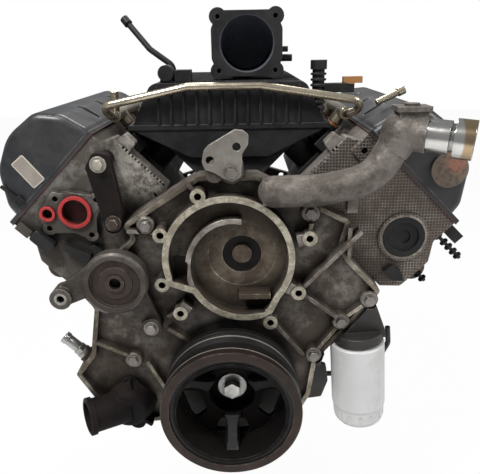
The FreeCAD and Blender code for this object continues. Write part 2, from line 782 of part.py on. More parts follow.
def intake_side_pad():
    """Ridged front edge of the head towards the valley, with the cast block on its upper end."""
    edge = -head_inner - 17
    pad = prism([(-head_inner + 1, head_bottom + 6), (edge, head_bottom + 10, 3), (edge, head_top - 24, 3),
                 (-head_inner + 1, head_top - 14)], head_front_y, head_front_y + 34)
    tooth_pitch = 5.6
    notches = [block_of(edge - 1, edge + 2.4, head_front_y - 1, head_front_y + 5,
                        head_bottom + 16 + tooth_pitch * i, head_bottom + 18.4 + tooth_pitch * i)
               for i in range(14)]
    block = prism([(edge + 1, head_top - 52, 2), (edge - 14, head_top - 50, 3), (edge - 14, head_top - 31, 3),
                   (edge + 1, head_top - 29, 2)], head_front_y + 3, head_front_y + 26)
    return joined([pad, block]).cut(notches)


def upright_head(side):
    """One bank's head: chambers, ports, valve bores, cam bearings, chain cavity and front face."""
    section = [(-100, head_bottom), (bank_outer, head_bottom), (exhaust_face, head_bottom + 19, 6),
               (exhaust_face, head_bottom + 70, 8), (head_outer, head_bottom + 94, 8), (head_outer, head_top),
               (-head_inner, head_top), (-head_inner, head_bottom + 24, 8)]
    body = prism(section, head_front_y, head_rear_y)
    cuts = [prism([(-84, head_bottom - 1), (28, head_bottom - 1), (44, pocket_floor, 10), (54, head_top - 24),
                   (54, head_top + 1), (-56, head_top + 1), (-56, head_top - 24), (-70, pocket_floor, 10)],
                  cavity_front_y, cavity_rear_y)]
    for before, after in zip(bearing_spans, bearing_spans[1:]):
        cuts.append(prism([(-54, pocket_floor, 6), (54, pocket_floor, 6), (54, head_top + 1),
                           (-54, head_top + 1)],
                          before[1], after[0]))
    side_gap = 26.0
    for y0, y1 in bearing_spans[1:3]:
        for w0, w1 in ((-54, -side_gap), (side_gap, 54)):
            cuts.append(block_of(w0, w1, y0 - 1, y1 + 1, pocket_floor + 8, head_top + 1))
    for y0, y1 in bearing_spans:
        cuts.append(block_of(-side_gap, side_gap, y0, y1, cam_t, head_top + 1))
        cuts.append(rod(0, cam_t, cam_journal + running_clearance, y0 - 1, y1))
    sphere_radius = 80.9
    for y in right_cylinder_y:
        dome = Part.makeSphere(sphere_radius, Vector(0, y, head_bottom + 13.0 - sphere_radius))
        cuts.append(dome.common(block_of(-50, 50, y - 50, y + 50, head_bottom - 1, head_bottom + 20)))
        for side_w, head_radius in ((-1, intake_head_radius), (1, exhaust_head_radius)):
            foot, way = valve_axis(side_w, y)
            cuts.append(along(foot, way, -9, 3, head_radius))
            cuts.append(along(foot, way, 3, 7, head_radius, head_radius - 4))
            cuts.append(along(foot, way, 7, 18, head_radius - 4))
            cuts.append(along(foot, way, 10, 60, stem_radius))
            cuts.append(rod_up(-side_w * adjuster_w, y - side_w * valve_shift, adjuster_radius,
                               pocket_floor - 12, pocket_floor + 1))
        cuts.append(bar((-22, y + valve_shift, head_bottom + 23),
                        (intake_mouth[0], y + valve_shift, intake_mouth[1]),
                        intake_port_radius))
        cuts.append(bar((22, y - valve_shift, head_bottom + 21), (exhaust_mouth[0], y - valve_shift,
                                                                 exhaust_mouth[1]), exhaust_port_radius))
        foot, way = plug_axis(y)
        cuts += [along(foot, way, -6, 25, 7.0), along(foot, way, 24, 150, 11.0)]
    cuts += [rod_up(w, y, 3.0, head_top - 14, head_top + 1) for w in rail_w for y in rail_bolt_y]
    if side > 0:
        cuts.append(rod(access_w, access_t, access_radius, head_front_y - 1, cavity_front_y + 1))
    body = joined([body.cut(cuts), intake_side_pad()])
    if side > 0:
        lug = ring(access_w, access_t, access_radius + 6, access_radius, head_front_y - 2, head_front_y + 1)
        square = prism([(-114, 339, 2), (-89, 339, 2), (-89, 363, 2), (-114, 363, 2)], head_front_y - 7,
                       head_front_y + 1)
        return joined([body, lug, square]).cut(rod(-101.5, 351, 4.2, head_front_y - 8, head_front_y + 4))
    pads = [rod(w, t, 9.5, head_front_y - port_flange_depth, head_front_y) for w, t in port_flange_holes]
    web_plate = prism([(-50, 318, 9), (-32, 343, 8), (-11, 360, 9), (26, 352, 10), (34, 326, 9), (8, 300, 12),
                       (0, 276, 6), (-12, 276, 6), (-30, 292, 12), (-56, 300, 8)],
                      head_front_y - port_flange_depth, head_front_y)
    lug = block_of(50, head_outer + 2, head_front_y - 6, head_front_y + 10, 344, 366)
    flange = joined(pads + [web_plate, lug])
    ports = [rod(big_port[0], big_port[1], big_port_radius, head_front_y - port_flange_depth - 1,
                 head_front_y),
             rod(small_port[0], small_port[1], small_port_radius, head_front_y - port_flange_depth - 1,
                 head_front_y)]
    ports += [rod(w, t, 4.0, head_front_y - port_flange_depth - 1, head_front_y - 1)
              for w, t in port_flange_holes]
    ports += [ring(big_port[0], big_port[1], big_port_radius + 5, big_port_radius,
                   head_front_y - port_flange_depth - 1,
                   head_front_y - port_flange_depth + 3),
              ring(small_port[0], small_port[1], small_port_radius + 4, small_port_radius,
                   head_front_y - port_flange_depth - 1, head_front_y - port_flange_depth + 3)]
    return joined([body, flange]).cut(ports)


def rod_up(x, y, radius, z0, z1):
    """Round bar along Z."""
    return Part.makeCylinder(radius, z1 - z0, Vector(x, y, z0))


rail_bolt_y = [head_front_y + 12 + (head_rear_y - head_front_y - 24) / 4 * i for i in range(5)]


def cam_caps():
    caps = []
    for y0, y1 in bearing_spans:
        cap = prism([(-26, cam_t), (26, cam_t), (26, cam_t + 10), (12, cam_t + 22, 6), (-12, cam_t + 22, 6),
                     (-26, cam_t + 10)], y0 + 1, y1 - 1)
        caps.append(cap.cut(rod(0, cam_t, cam_journal + running_clearance, y0, y1)))
    return caps


def placed(shapes, side):
    return [on_right(shape) if side > 0 else on_left(shape) for shape in shapes]


def cylinder_head(side):
    return placed([upright_head(side)] + cam_caps(), side)


def head_gaskets():
    """Thin sheet under each head, open at the bores and at the chain slot."""
    sheets = []
    for side in (1, -1):
        front = block_front_y - (bank_offset if side < 0 else 0)
        wide = block_of(-98, bank_outer, head_front_y + 1, front + 12, deck_height, head_bottom)
        deck = block_of(-bank_inner, bank_outer, front + 12, head_rear_y, deck_height, head_bottom)
        holes = [rod_up(0, y, bore / 2 + 1, deck_height - 1, head_bottom + 1) for y in right_cylinder_y]
        slot = block_of(-84, 28, cavity_front_y, cavity_rear_y, deck_height - 1, head_bottom + 1)
        sheets += placed([joined([wide, deck]).cut(holes + [slot])], side)
    return sheets


cover_round = 11.0
cover_disc = (-1.5, 412.0)
cover_disc_radius = 24.5


def valve_cover(side):
    """Moulded shell with a bolting rim; its outboard edge falls away."""
    top = head_top + valve_cover_height
    wall = valve_cover_wall

    def dome(inset):
        return [(-head_inner + inset, head_top - 1), (-head_inner + inset, head_top + 12, 6),
                (-head_inner + 8 + inset, head_top + 46, 30), (-80 + inset * 0.7, top - 6 - inset, 26),
                (-28, top + 1 - inset, 60), (18 - inset * 0.5, top - 18 - inset, 46),
                (50 - inset, head_top + 22, 24), (54 - inset, head_top - 1)]

    outer = prism(dome(0), head_front_y, head_rear_y)
    outer = outer.cut(block_of(-200, 200, head_front_y - 1, head_rear_y + 1, head_top - 5, head_top))
    curved = [edge for edge in outer.Edges if abs(edge.CenterOfMass.y - head_front_y) < 0.01
              and edge.CenterOfMass.z > head_top + 1]
    outer = outer.makeFillet(cover_round, curved)
    rim = prism([(-head_inner - 2, head_top), (head_outer + 2, head_top), (head_outer + 2, head_top + 6, 2),
                 (-head_inner - 2, head_top + 6, 2)], head_front_y - 1, head_rear_y + 1)
    hollow = prism(dome(wall), head_front_y + wall, head_rear_y - wall)
    seats = [rod_up(w, y, 7.5, head_top, head_top + 12) for w in rail_w for y in rail_bolt_y[1:-1]]
    shell = joined([outer, rim] + seats).cut([hollow.cut(seats)])
    shell = shell.cut([rod_up(w, y, 3.0, head_top - 1, head_top + 100) for w in rail_w
                       for y in rail_bolt_y[1:-1]])
    shell = shell.cut([rod_up(w, y, 7.5, head_top + 12, head_top + 100) for w in rail_w
                       for y in rail_bolt_y[1:-1]])
    pieces = [shell]
    if side > 0:
        pieces.append(rod(cover_disc[0], cover_disc[1], cover_disc_radius, head_front_y - 3,
                          head_front_y + wall))
    return placed([joined(pieces)], side)


# Valve gear
def valves():
    """Six intake and six exhaust valves, drawn closed on their seats."""
    pieces = []
    for side in (1, -1):
        for y in right_cylinder_y:
            for side_w, head_radius in ((-1, intake_head_radius), (1, exhaust_head_radius)):
                foot, way = valve_axis(side_w, y)
                valve = joined([along(foot, way, 0, 3, head_radius),
                                along(foot, way, 3, 11, head_radius, stem_radius),
                                along(foot, way, 11, valve_length, stem_radius)])
                pieces += placed([valve], side)
    return pieces


spring_top = 84.0


def valve_springs():
    """A tapered spring, drawn as a sleeve, and its retainer on each valve."""
    pieces = []
    seat = (pocket_floor - valve_foot_t) / math.cos(math.radians(valve_tilt)) + 3.0
    for side in (1, -1):
        for y in right_cylinder_y:
            for side_w in (-1, 1):
                foot, way = valve_axis(side_w, y)
                outer = along(foot, way, seat, spring_top - 3, 13.0, 9.5)
                inner = along(foot, way, seat, spring_top - 3, 10.0, 6.5)
                retainer = along(foot, way, spring_top - 3, spring_top, 9.5)
                spring = joined([outer.cut(inner), retainer]).cut(along(foot, way, seat - 1, spring_top + 1,
                                                                        stem_radius))
                pieces += placed([spring], side)
    return pieces


finger_width = 10.0
roller_reach = cam_base + roller_radius + 0.05
roller_angle = 50.0
adjuster_top = pocket_floor + 27.0


def roller_centre(side_w):
    angle = math.radians(roller_angle)
    return side_w * roller_reach * math.sin(angle), cam_t - roller_reach * math.cos(angle)


def rocker_arms():
    """Roller fingers: one end on its adjuster, the other on its valve's tip."""
    pieces = []
    tip_w = valve_foot_w + valve_length * math.sin(math.radians(valve_tilt))
    tip_t = valve_foot_t + valve_length * math.cos(math.radians(valve_tilt))
    a = adjuster_top
    for side in (1, -1):
        for y in right_cylinder_y:
            for side_w in (-1, 1):
                centre = y - side_w * valve_shift
                roller_w, roller_t = roller_centre(side_w)
                half = [(-13, a), (-13, a + 6.5), (10, a + 7), (24, a + 11), (29, tip_t + 7),
                        (tip_w + 5, tip_t + 7),
                        (tip_w + 5, tip_t + 0.8), (33, tip_t + 0.8), (20, a + 4), (10, a)]
                points = [(side_w * p, t) for p, t in half]
                finger = prism(points, centre - finger_width / 2, centre + finger_width / 2)
                roller = rod(roller_w, roller_t, roller_radius, centre - finger_width / 2,
                             centre + finger_width / 2)
                pieces += placed([joined([finger, roller])], side)
    return pieces


def lash_adjusters():
    pieces = []
    for side in (1, -1):
        for y in right_cylinder_y:
            for side_w in (-1, 1):
                pieces += placed([rod_up(-side_w * adjuster_w, y - side_w * valve_shift, adjuster_radius,
                                         pocket_floor - 12, adjuster_top)], side)
    return pieces


def cam_lobe(nose_angle, y):
    """Base circle, nose circle and the flanks that touch both."""
    reach = cam_base + cam_lift - cam_nose
    touch = math.acos((cam_base - cam_nose) / reach)
    base_w, base_t = cam_base * math.sin(touch), cam_base * math.cos(touch)
    nose_w, nose_t = cam_nose * math.sin(touch), reach + cam_nose * math.cos(touch)
    y0, y1 = y - lobe_width / 2, y + lobe_width / 2
    flanks = prism([(-base_w, base_t), (base_w, base_t), (nose_w, nose_t), (-nose_w, nose_t)], y0, y1)
    lobe = joined([rod(0, 0, cam_base, y0, y1), rod(0, reach, cam_nose, y0, y1), flanks])
    return moved(turned_round_y(lobe, nose_angle), 0, 0, cam_t)


def camshaft(side):
    """Shaft with four journals, six lobes and its sprocket, closed valves at rest."""
    pieces = [rod(0, cam_t, 13.0, cavity_front_y + 1.5, bearing_spans[3][1] - 1)]
    for y0, y1 in bearing_spans:
        pieces.append(rod(0, cam_t, cam_journal, y0 + 1, y1 - 1))
    for i, y in enumerate(right_cylinder_y):
        intake = 180.0 + roller_angle + 60.0 + 120.0 * i
        exhaust = 180.0 - roller_angle + 60.0 + 120.0 * (i + 1)
        pieces += [cam_lobe(intake, y + valve_shift), cam_lobe(exhaust, y - valve_shift)]
    wheel = toothed_wheel(0, cam_t, cam_teeth, right_row_y - sprocket_half, right_row_y + sprocket_half, 12.9)
    windows = [rod(25 * math.sin(math.radians(a)), cam_t + 25 * math.cos(math.radians(a)), 7.0,
                   right_row_y - 5, right_row_y + 5) for a in range(0, 360, 72)]
    return placed([joined(pieces + [wheel.cut(windows)])], side)


def tip_radius(teeth):
    return chain_pitch / (2 * math.sin(math.pi / teeth)) + 1.6


def belt_shape(start, radius0, end, radius1, y0, y1):
    """Solid that a tight band round two discs encloses."""
    run = math.hypot(end[0] - start[0], end[1] - start[1])
    ux, uz = (end[0] - start[0]) / run, (end[1] - start[1]) / run
    lean = math.asin((radius0 - radius1) / run)
    corners = []
    for (cx, cz), radius, turn in ((start, radius0, 1), (end, radius1, 1), (end, radius1, -1),
                                   (start, radius0, -1)):
        nx = ux * math.sin(lean) - turn * uz * math.cos(lean)
        nz = uz * math.sin(lean) + turn * ux * math.cos(lean)
        corners.append((cx + radius * nx, cz + radius * nz))
    return joined([prism(corners, y0, y1), rod(start[0], start[1], radius0, y0, y1),
                   rod(end[0], end[1], radius1, y0, y1)])


def timing_chains():
    """Primary chain and one chain per cam, each a closed band round its two wheels."""
    gap = 0.15
    loops = []
    cam_x = cam_t * diagonal
    runs = [((0, 0), crank_teeth, (0, idler_height), idler_teeth, primary_row_y),
            ((0, idler_height), cam_teeth, (cam_x, cam_x), cam_teeth, right_row_y),
            ((0, idler_height), cam_teeth, (-cam_x, cam_x), cam_teeth, left_row_y)]
    for start, teeth0, end, teeth1, y in runs:
        y0, y1 = y - chain_width / 2, y + chain_width / 2
        inner = belt_shape(start, tip_radius(teeth0) + gap, end, tip_radius(teeth1) + gap, y0 - 1, y1 + 1)
        outer = belt_shape(start, tip_radius(teeth0) + chain_band, end, tip_radius(teeth1) + chain_band, y0,
                           y1)
        loops.append(outer.cut(inner))
    return loops


def chain_guides():
    """Guide blade under each long chain, on two pins set in the block's front face."""
    blades = []
    for side in (1, -1):
        row = right_row_y if side > 0 else left_row_y
        blade = prism([(-4.6, 112), (4, 150), (17, 206), (23, 205), (10, 149), (1.4, 111)], row - 5, row + 5)
        pins = [rod(w, t, 4.5, row - 5, block_front_y) for w, t in ((2.5, 120), (18.5, 199))]
        upright = joined([blade] + pins)
        leaning = on_right(upright)
        blades.append(leaning if side > 0 else leaning.mirror(Vector(0, 0, 0), Vector(1, 0, 0)))
    washer = rod(0, idler_height, 17.0, idler_pin_end - 3, idler_pin_end)
    blades.append(joined([washer, hex_bolt(0, idler_height, idler_pin_end - 3, 9.0, 2.0)]))
    return blades


# Front cover
def both_halves(half):
    """Outline from its right half, listed from bottom to top or top to bottom."""
    return half + [(-p[0],) + tuple(p[1:]) for p in reversed(half)]


lifting_plate_thickness = 6.0
lifting_plate_y = cover_front_y - 23.0
tensioner_bolt_radius = 5.0
nipple_seat = (-216.0, cover_front_y + 17.0, 27.0)
nipple_way = (-0.71, 0.0, 0.704)
nipple_thread = 7.0
thermostat_x = -150.0
thermostat_z = -38.0
thermostat_flange = [(-150, 8, 14), (-110, -40, 16), (-140, -95, 12), (-192, -42, 16)]
lifting_hole_radius = 5.3
lifting_holes = [(-20.4, 318.7), (12.5, 334.8)]
cover_lip = 8.0
lump_depth = 40.0
front_edge = [(-38, 296, 6), (38, 296, 6), (158, 234, 6), (150, 198, 6), (160, 180, 6), (204, 134, 6),
              (178, 98, 8), (120, 28, 12), (112, -30, 12), (84, -86, 10), (40, -102, 14), (-40, -102, 14),
              (-84, -86, 8), (-108, -74, 8), (-160, -80, 8), (-204, -31, 8), (-226, 7, 5), (-200, 40, 8),
              (-197, 60, 20), (-188, 112, 10), (-204, 134, 6), (-128, 214, 7), (-139, 232, 7)]
case_half = [(84, -86, 10), (112, -30, 12), (120, 28, 12), (178, 98, 8), (203, 133), (97.6, 238.8)]
pocket_half = [(46, -68, 8), (62, -20, 10), (100, 45, 10), (168, 128, 8), (177, 148), (99, 226, 4)]
volute_corner = (-80.0, 152.0)
volute_bottom = [(66.6, 132.7), (57, 112), (47, 105), (2, 102.5), (-49, 141)]
chamber_floor = 22.0


def volute_outline(y):
    """Outer edge of the pump flange: a big arc over the top and a smaller one underneath."""
    start, end = Vector(volute_corner[0], y, volute_corner[1]), Vector(volute_bottom[0][0], y,
                                                                       volute_bottom[0][1])
    top = Vector(volute_x, y, volute_z + volute_radius)
    low = [Vector(x, y, z) for x, z in volute_bottom]
    edges = [Part.Arc(start, top, end).toShape(), Part.LineSegment(low[0], low[1]).toShape(),
             Part.LineSegment(low[1], low[2]).toShape(), Part.Arc(low[2], low[3], low[4]).toShape(),
             Part.LineSegment(low[4], start).toShape()]
    return Part.Wire(edges)


def spiral_wall(y0, y1):
    """Thin wall that winds in from the flange to the throat above the impeller."""
    thickness = 7.0
    inner, outer = [], []
    for i in range(8):
        turn = 90 + 18 * i
        radius = 47.5 + 0.21 * (turn - 90)
        angle = math.radians(turn)
        inner.append(Vector(impeller_x + radius * math.cos(angle), y0, volute_z + radius * math.sin(angle)))
        radius += thickness
        outer.append(Vector(impeller_x + radius * math.cos(angle), y0, volute_z + radius * math.sin(angle)))
    near, far = Part.BSplineCurve(), Part.BSplineCurve()
    near.interpolate(inner)
    far.interpolate(outer)
    wire = Part.Wire([near.toShape(), Part.LineSegment(inner[-1], outer[-1]).toShape(), far.toShape(),
                      Part.LineSegment(outer[0], inner[0]).toShape()])
    return Part.Face(wire).extrude(Vector(0, y1 - y0, 0))


def rib(x0, z0, x1, z1, height, thickness=5.0):
    """Straight stiffening rib standing on the cover's skin."""
    run = math.hypot(x1 - x0, z1 - z0)
    nx, nz = -(z1 - z0) / run * thickness / 2, (x1 - x0) / run * thickness / 2
    return prism([(x0 + nx, z0 + nz), (x1 + nx, z1 + nz), (x1 - nx, z1 - nz), (x0 - nx, z0 - nz)],
                 cover_front_y - height, cover_front_y + 1)


def front_cover():
    """Cast cover over the timing drive with the coolant pump's volute in its face."""
    head_left_front = head_front_y + bank_offset
    case = both_halves(case_half)
    lap = [(-45, 290), (-139, 232, 7), (-128, 214, 7), (-203, 134), (-97.6, 239), (-45, 239)]
    lump = [(-84, -84), (-108, -74, 8), (-160, -80, 8), (-204, -31, 8), (-226, 7, 5), (-200, 40, 8),
            (-197, 60, 20), (-188, 112, 10), (-150, 100), (-110, 0)]
    pieces = [prism(front_edge, cover_front_y, head_front_y), prism(case, head_front_y, block_front_y),
              prism(lap, head_front_y, head_left_front), prism(lump, head_front_y,
                                                               cover_front_y + lump_depth)]
    edge_face = Part.Face(outline(front_edge, at_y(cover_front_y - cover_lip)))
    inner_face = edge_face.makeOffset2D(-6.5)
    pieces.append(edge_face.cut(inner_face).extrude(Vector(0, cover_lip + 1, 0)))
    flange_depth = cover_front_y - pump_face_y
    flange = Part.Face(volute_outline(pump_face_y)).extrude(Vector(0, flange_depth + 1, 0))
    pieces.append(flange)
    ear_radius = 9.8
    centre = (volute_x, volute_z)
    for x, z in pump_ears:
        run = math.hypot(x - centre[0], z - centre[1])
        nx, nz = (x - centre[0]) / run, (z - centre[1]) / run
        inner = (centre[0] + nx * (run - 16), centre[1] + nz * (run - 16))
        pieces.append(rod(x, z, ear_radius, pump_face_y, cover_front_y + 1))
        pieces.append(prism([(x - nz * 7, z + nx * 7), (x + nz * 7, z - nx * 7),
                             (inner[0] + nz * 8, inner[1] - nx * 8),
                             (inner[0] - nz * 8, inner[1] + nx * 8)], pump_face_y + 1.5, cover_front_y + 1))
    for x, z in cover_bolt_places:
        pieces.append(rod(x, z, 12.0, bolt_face_y(x, z), cover_front_y + 1))
    pieces.append(rod(lifting_bolt[0], lifting_bolt[1], 15.0, lifting_plate_y + lifting_plate_thickness,
                      head_front_y))
    pieces.append(rod(-16, 300, 11.0, lifting_plate_y + lifting_plate_thickness, head_front_y))
    pieces.append(rod(tensioner_lug[0], tensioner_lug[1], 13.0, cover_front_y - 6, cover_front_y + 1))
    ribs = [(104, 216, 110, 262, 20), (171, 222, 95, 142, 20), (157, 226, 157, 186, 16),
            (-88, 223, -132, 226, 16),
            (-40, 276, -50, 287, 16), (-90, 154, -104, 152, 8), (-66, 110, -88, 99, 10), (54, 96, 100, 40,
                                                                                          16),
            (91, 139, 152, 92, 16), (152, 92, 186, 118, 12), (116, 40, 150, 86, 12), (-120, 30, -84, -40, 14),
            (-190, 60, -136, 34, 12), (-88, 80, -60, 60, 10)]
    pieces += [rib(*r) for r in ribs]
    seal_boss = turned([(front_seal_radius, cover_front_y - 3), (front_seal_radius + 9, cover_front_y - 3),
                        (front_seal_radius + 15, cover_front_y + 1), (front_seal_radius, cover_front_y + 1)])
    pieces.append(seal_boss)
    nipple_root = tuple(a - 22 * b for a, b in zip(nipple_seat, nipple_way))
    pieces.append(bar(nipple_root, nipple_seat, 12.0))
    body = joined(pieces)
    pocket = both_halves(pocket_half)
    cuts = [prism(pocket, cover_front_y + cover_skin, block_front_y + 1)]
    slot = prism([(-82, 229), (26, 229), (26, head_bottom), (-82, head_bottom)], cavity_front_y,
                 cavity_rear_y)
    cuts += placed([slot], 1) + placed([slot], -1)
    cuts.append(rod(0, 0, front_seal_radius, cover_front_y - 10, cover_front_y + cover_skin + 1))
    hollow_face = Part.Face(volute_outline(pump_face_y - 1)).makeOffset2D(-volute_wall)
    hollow = hollow_face.extrude(Vector(0, chamber_floor + 1, 0))
    bridge = block_of(12, 54, pump_face_y + 2, cover_front_y, 131, 138)
    hollow = hollow.cut([spiral_wall(pump_face_y + 1, pump_face_y + 30), bridge])
    cuts.append(hollow)
    suction = ring(impeller_x, volute_z, 26.0, 13.0, pump_face_y, cover_front_y + 2.5)
    cuts += [suction, rod(impeller_x, volute_z, 45.0, pump_face_y, pump_face_y + chamber_floor + 0.8)]
    cuts.append(prism([(-76, 158, 4), (-56, 156, 4), (-54, 186, 4), (-75, 188, 4)], pump_face_y,
                      cover_front_y + 2))
    cuts.append(prism([(22, 109, 3), (47, 112, 3), (47, 128, 3), (22, 128, 3)], pump_face_y,
                      cover_front_y + 2))
    cuts += [rod(x, z, 4.6, pump_face_y - 1, pump_face_y + 24) for x, z in pump_ears]
    for x, z in cover_bolt_places:
        y = bolt_face_y(x, z)
        cuts.append(rod(x, z, cover_bolt_radius, y - 1, y + bolt_length(x, z) + 0.5))
        cuts.append(rod(x, z, 12.0, y - 20, y))
    cuts.append(rod(tensioner_lug[0], tensioner_lug[1], cover_bolt_radius, cover_front_y - 8,
                    cover_front_y + 18))
    cuts.append(rod(tensioner_x, tensioner_z, tensioner_bolt_radius, cover_front_y - 8, cover_front_y + 20))
    cuts.append(rod(lifting_bolt[0], lifting_bolt[1], cover_bolt_radius, lifting_plate_y,
                    lifting_plate_y + 28))
    cuts.append(bar(nipple_root, nipple_seat, nipple_thread))
    cuts.append(prism(thermostat_flange, cover_front_y - 20, cover_front_y))
    cuts.append(rod(thermostat_x, thermostat_z, 24.0, cover_front_y - 1, cover_front_y + 16))
    return body.cut(cuts)


def bolt_face_y(x, z):
    """Front face of the boss under a cover bolt."""
    return cover_front_y - cover_lip - 2.0


def bolt_length(x, z):
    """Bolts inside the block's outline reach it; the others end in the cover or a head."""
    through = abs(x) + z < deck_height / diagonal - 4 and abs(x) > 100 and x != -140.0
    return block_front_y + 9 - bolt_face_y(x, z) if through else 30.0


def cover_bolts():
    """Flanged bolts of the front cover, the valve covers and the pan, and the lifting stud."""
    pieces = [hex_bolt(x, z, bolt_face_y(x, z), 2 * cover_bolt_radius, bolt_length(x, z))
              for x, z in cover_bolt_places]
    pieces.append(hex_bolt(lifting_bolt[0], lifting_bolt[1], lifting_plate_y, 2 * cover_bolt_radius, 24.0,
                           1.2))
    pieces.append(hex_bolt(tensioner_lug[0], tensioner_lug[1], cover_front_y - 24, 2 * cover_bolt_radius,
                           36.0, 1.3))
    for x, z in strut_bolts:
        pieces.append(hex_bolt(x, z, strut_front_y, 8.0, 40.0))
    for side in (1, -1):
        for w in rail_w:
            for y in rail_bolt_y[1:-1]:
                shank = rod_up(w, y, 3.0, head_top - 12, head_top + 12)
                head = rod_up(w, y, 6.5, head_top + 12, head_top + 17)
                pieces += placed([joined([shank, head])], side)
    for y in pan_bolt_y:
        for x in (-90.0, 90.0):
            pieces.append(rod_up(x, y, 5.5, pan_flange_z - 11, pan_flange_z - 6))
    return pieces


def lifting_plate():
    """Flat steel plate with two holes, held by the stud on the cover's top boss."""
    edge = [(-27.8, 330.6, 3), (-22, 337.1, 3), (10.6, 355.6, 5), (20.6, 354.4, 4), (27.3, 348.8, 4),
            (26.5, 337.1, 4),
            (19.3, 326.2, 4), (18.7, 313.2, 5), (17.5, 298, 6), (6, 291, 7), (-4, 296, 3), (-14.8, 303, 4),
            (-27, 307.2, 4), (-30.6, 316.7, 4)]
    plate = prism(edge, lifting_plate_y, lifting_plate_y + lifting_plate_thickness)
    y0, y1 = lifting_plate_y - 1, lifting_plate_y + lifting_plate_thickness + 1
    return plate.cut([rod(x, z, lifting_hole_radius, y0, y1) for x, z in lifting_holes]
                     + [rod(lifting_bolt[0], lifting_bolt[1], cover_bolt_radius, y0, y1)])


# Fittings on the front
outlet_axis_y = cover_front_y - 20.0
outlet_start = Vector(240.0, outlet_axis_y - 8.0, 346.0)
outlet_end = Vector(288.0, outlet_axis_y - 30.0, 342.0)
outlet_way = (outlet_end - outlet_start).normalize()
tube_radius = 17.0
tube_wall = 2.0
outlet_ring_radius = 23.5
outlet_ring_length = 22.0


outlet_pipe_radius = 20.0


def coolant_outlet(cover):
    """Cast crossover from the cover, swept up to the radiator hose outlet, with a sensor boss."""
    y = outlet_axis_y
    bend = outlet_start - outlet_way * 30
    start = Vector(58, y, 277.5)
    run = swept_tube([tuple(start), (118, y, 278.5), (182, y, 292), tuple(bend)], [150, 60],
                     outlet_pipe_radius)
    swell = cone((201, y + 2, 323), tuple(bend), outlet_pipe_radius, 24.5)
    foot = block_of(44, 78, y - 10, cover_front_y - cover_lip, 262, 292)
    prop = block_of(150, 162, y - 6, cover_front_y - cover_lip, 250, 280)
    elbow = Part.makeSphere(25.0, bend)
    neck = Part.makeCylinder(21.5, 30, bend, outlet_way)
    cap = Part.makeSphere(outlet_pipe_radius, start)
    boss = block_of(204, 238, y - 13, y + 13, bend.z, 374)
    lid = block_of(201, 241, y - 16, y + 16, 374, 380)
    stub = rod_up(221, y, 9.0, 379, 383)
    return joined([run, swell, foot, prop, elbow, neck, cap, boss, lid, stub]).cut(
        [Part.makeCylinder(tube_radius, 31, bend, outlet_way), cover])


def outlet_tube():
    """Steel hose tube pressed in the outlet, with a bead and a rolled end."""
    start, end, way = outlet_start, outlet_end, outlet_way
    inside = start - way * 12
    tube = Part.makeCylinder(tube_radius, (end - inside).Length, inside, way)
    body = Part.makeCylinder(20.0, 26.0, start, way)
    bead = Part.makeCylinder(outlet_ring_radius, outlet_ring_length, end - way * outlet_ring_length, way)
    hole = Part.makeCylinder(tube_radius - tube_wall, 100, inside - way, way)
    return joined([tube, body, bead]).cut(hole)


spout_bore = 21.0


def thermostat_housing():
    """Plastic hose inlet over the thermostat, with its oval flange and side spout."""
    y = cover_front_y
    flange = prism(thermostat_flange, y - 9, y)
    dome = turned([(0, y - 34), (26, y - 34, 8), (36, y - 9, 3), (0, y - 9)], thermostat_x, thermostat_z)
    mouth = (-204.0, y - 46.0, -38.0)
    root = (-156.0, y - 17.0, -40.0)
    spout = bar(root, mouth, 24.0)
    way = Vector(*mouth) - Vector(*root)
    way.normalize()
    bead = Part.makeCylinder(26.5, 7.0, Vector(*mouth) - way * 8, way)
    ribs = [prism([(-150, 2), (-146, 2), (-132, -30), (-136, -30)], y - 26, y - 8),
            prism([(-120, -72), (-117, -68), (-140, -52), (-143, -56)], y - 24, y - 8)]
    body = joined([flange, dome, spout, bead] + ribs)
    hole = Part.makeCylinder(spout_bore, 50, Vector(*mouth) - way * 48, way)
    seat = rod(thermostat_x, thermostat_z, 22.0, y - 28, y + 1)
    behind = block_of(-300, 0, y, y + 40, -150, 60)
    return [body.cut([hole, seat, behind]), thermostat()]


def thermostat():
    """Wax thermostat between the housing and the cover."""
    y = cover_front_y
    disc = rod(thermostat_x, thermostat_z, 21.5, y - 3, y)
    bulb = rod(thermostat_x, thermostat_z, 6.0, y - 14, y + 12)
    return joined([disc, bulb])


def heater_nipple():
    """Steel hose nipple with a hexagon, screwed in the cover's inlet lump."""
    seat, way = Vector(*nipple_seat), Vector(*nipple_way)
    thread = Part.makeCylinder(nipple_thread, 18, seat - way * 17, way)
    collar = Part.makeCylinder(10.5, 6, seat + way * 0.5, way)
    hexagon = Part.Face(Part.makePolygon([seat + way * 6 + turn_point(way, 10.5, a)
                                          for a in range(0, 420, 60)]))
    tube = Part.makeCylinder(8.0, 34, seat + way * 6, way)
    bead = Part.makeCylinder(9.0, 6, seat + way * 34, way)
    body = joined([thread, collar, hexagon.extrude(way * 8), tube, bead])
    return body.cut(Part.makeCylinder(5.5, 60, seat - way * 16, way))


tensioner_base_y = cover_front_y - 18.0
tensioner_gap = 0.4
tensioner_front_y = cover_front_y - 38.0
pivot_radius = 12.0
arm_boss = (-221.3, 141.9)


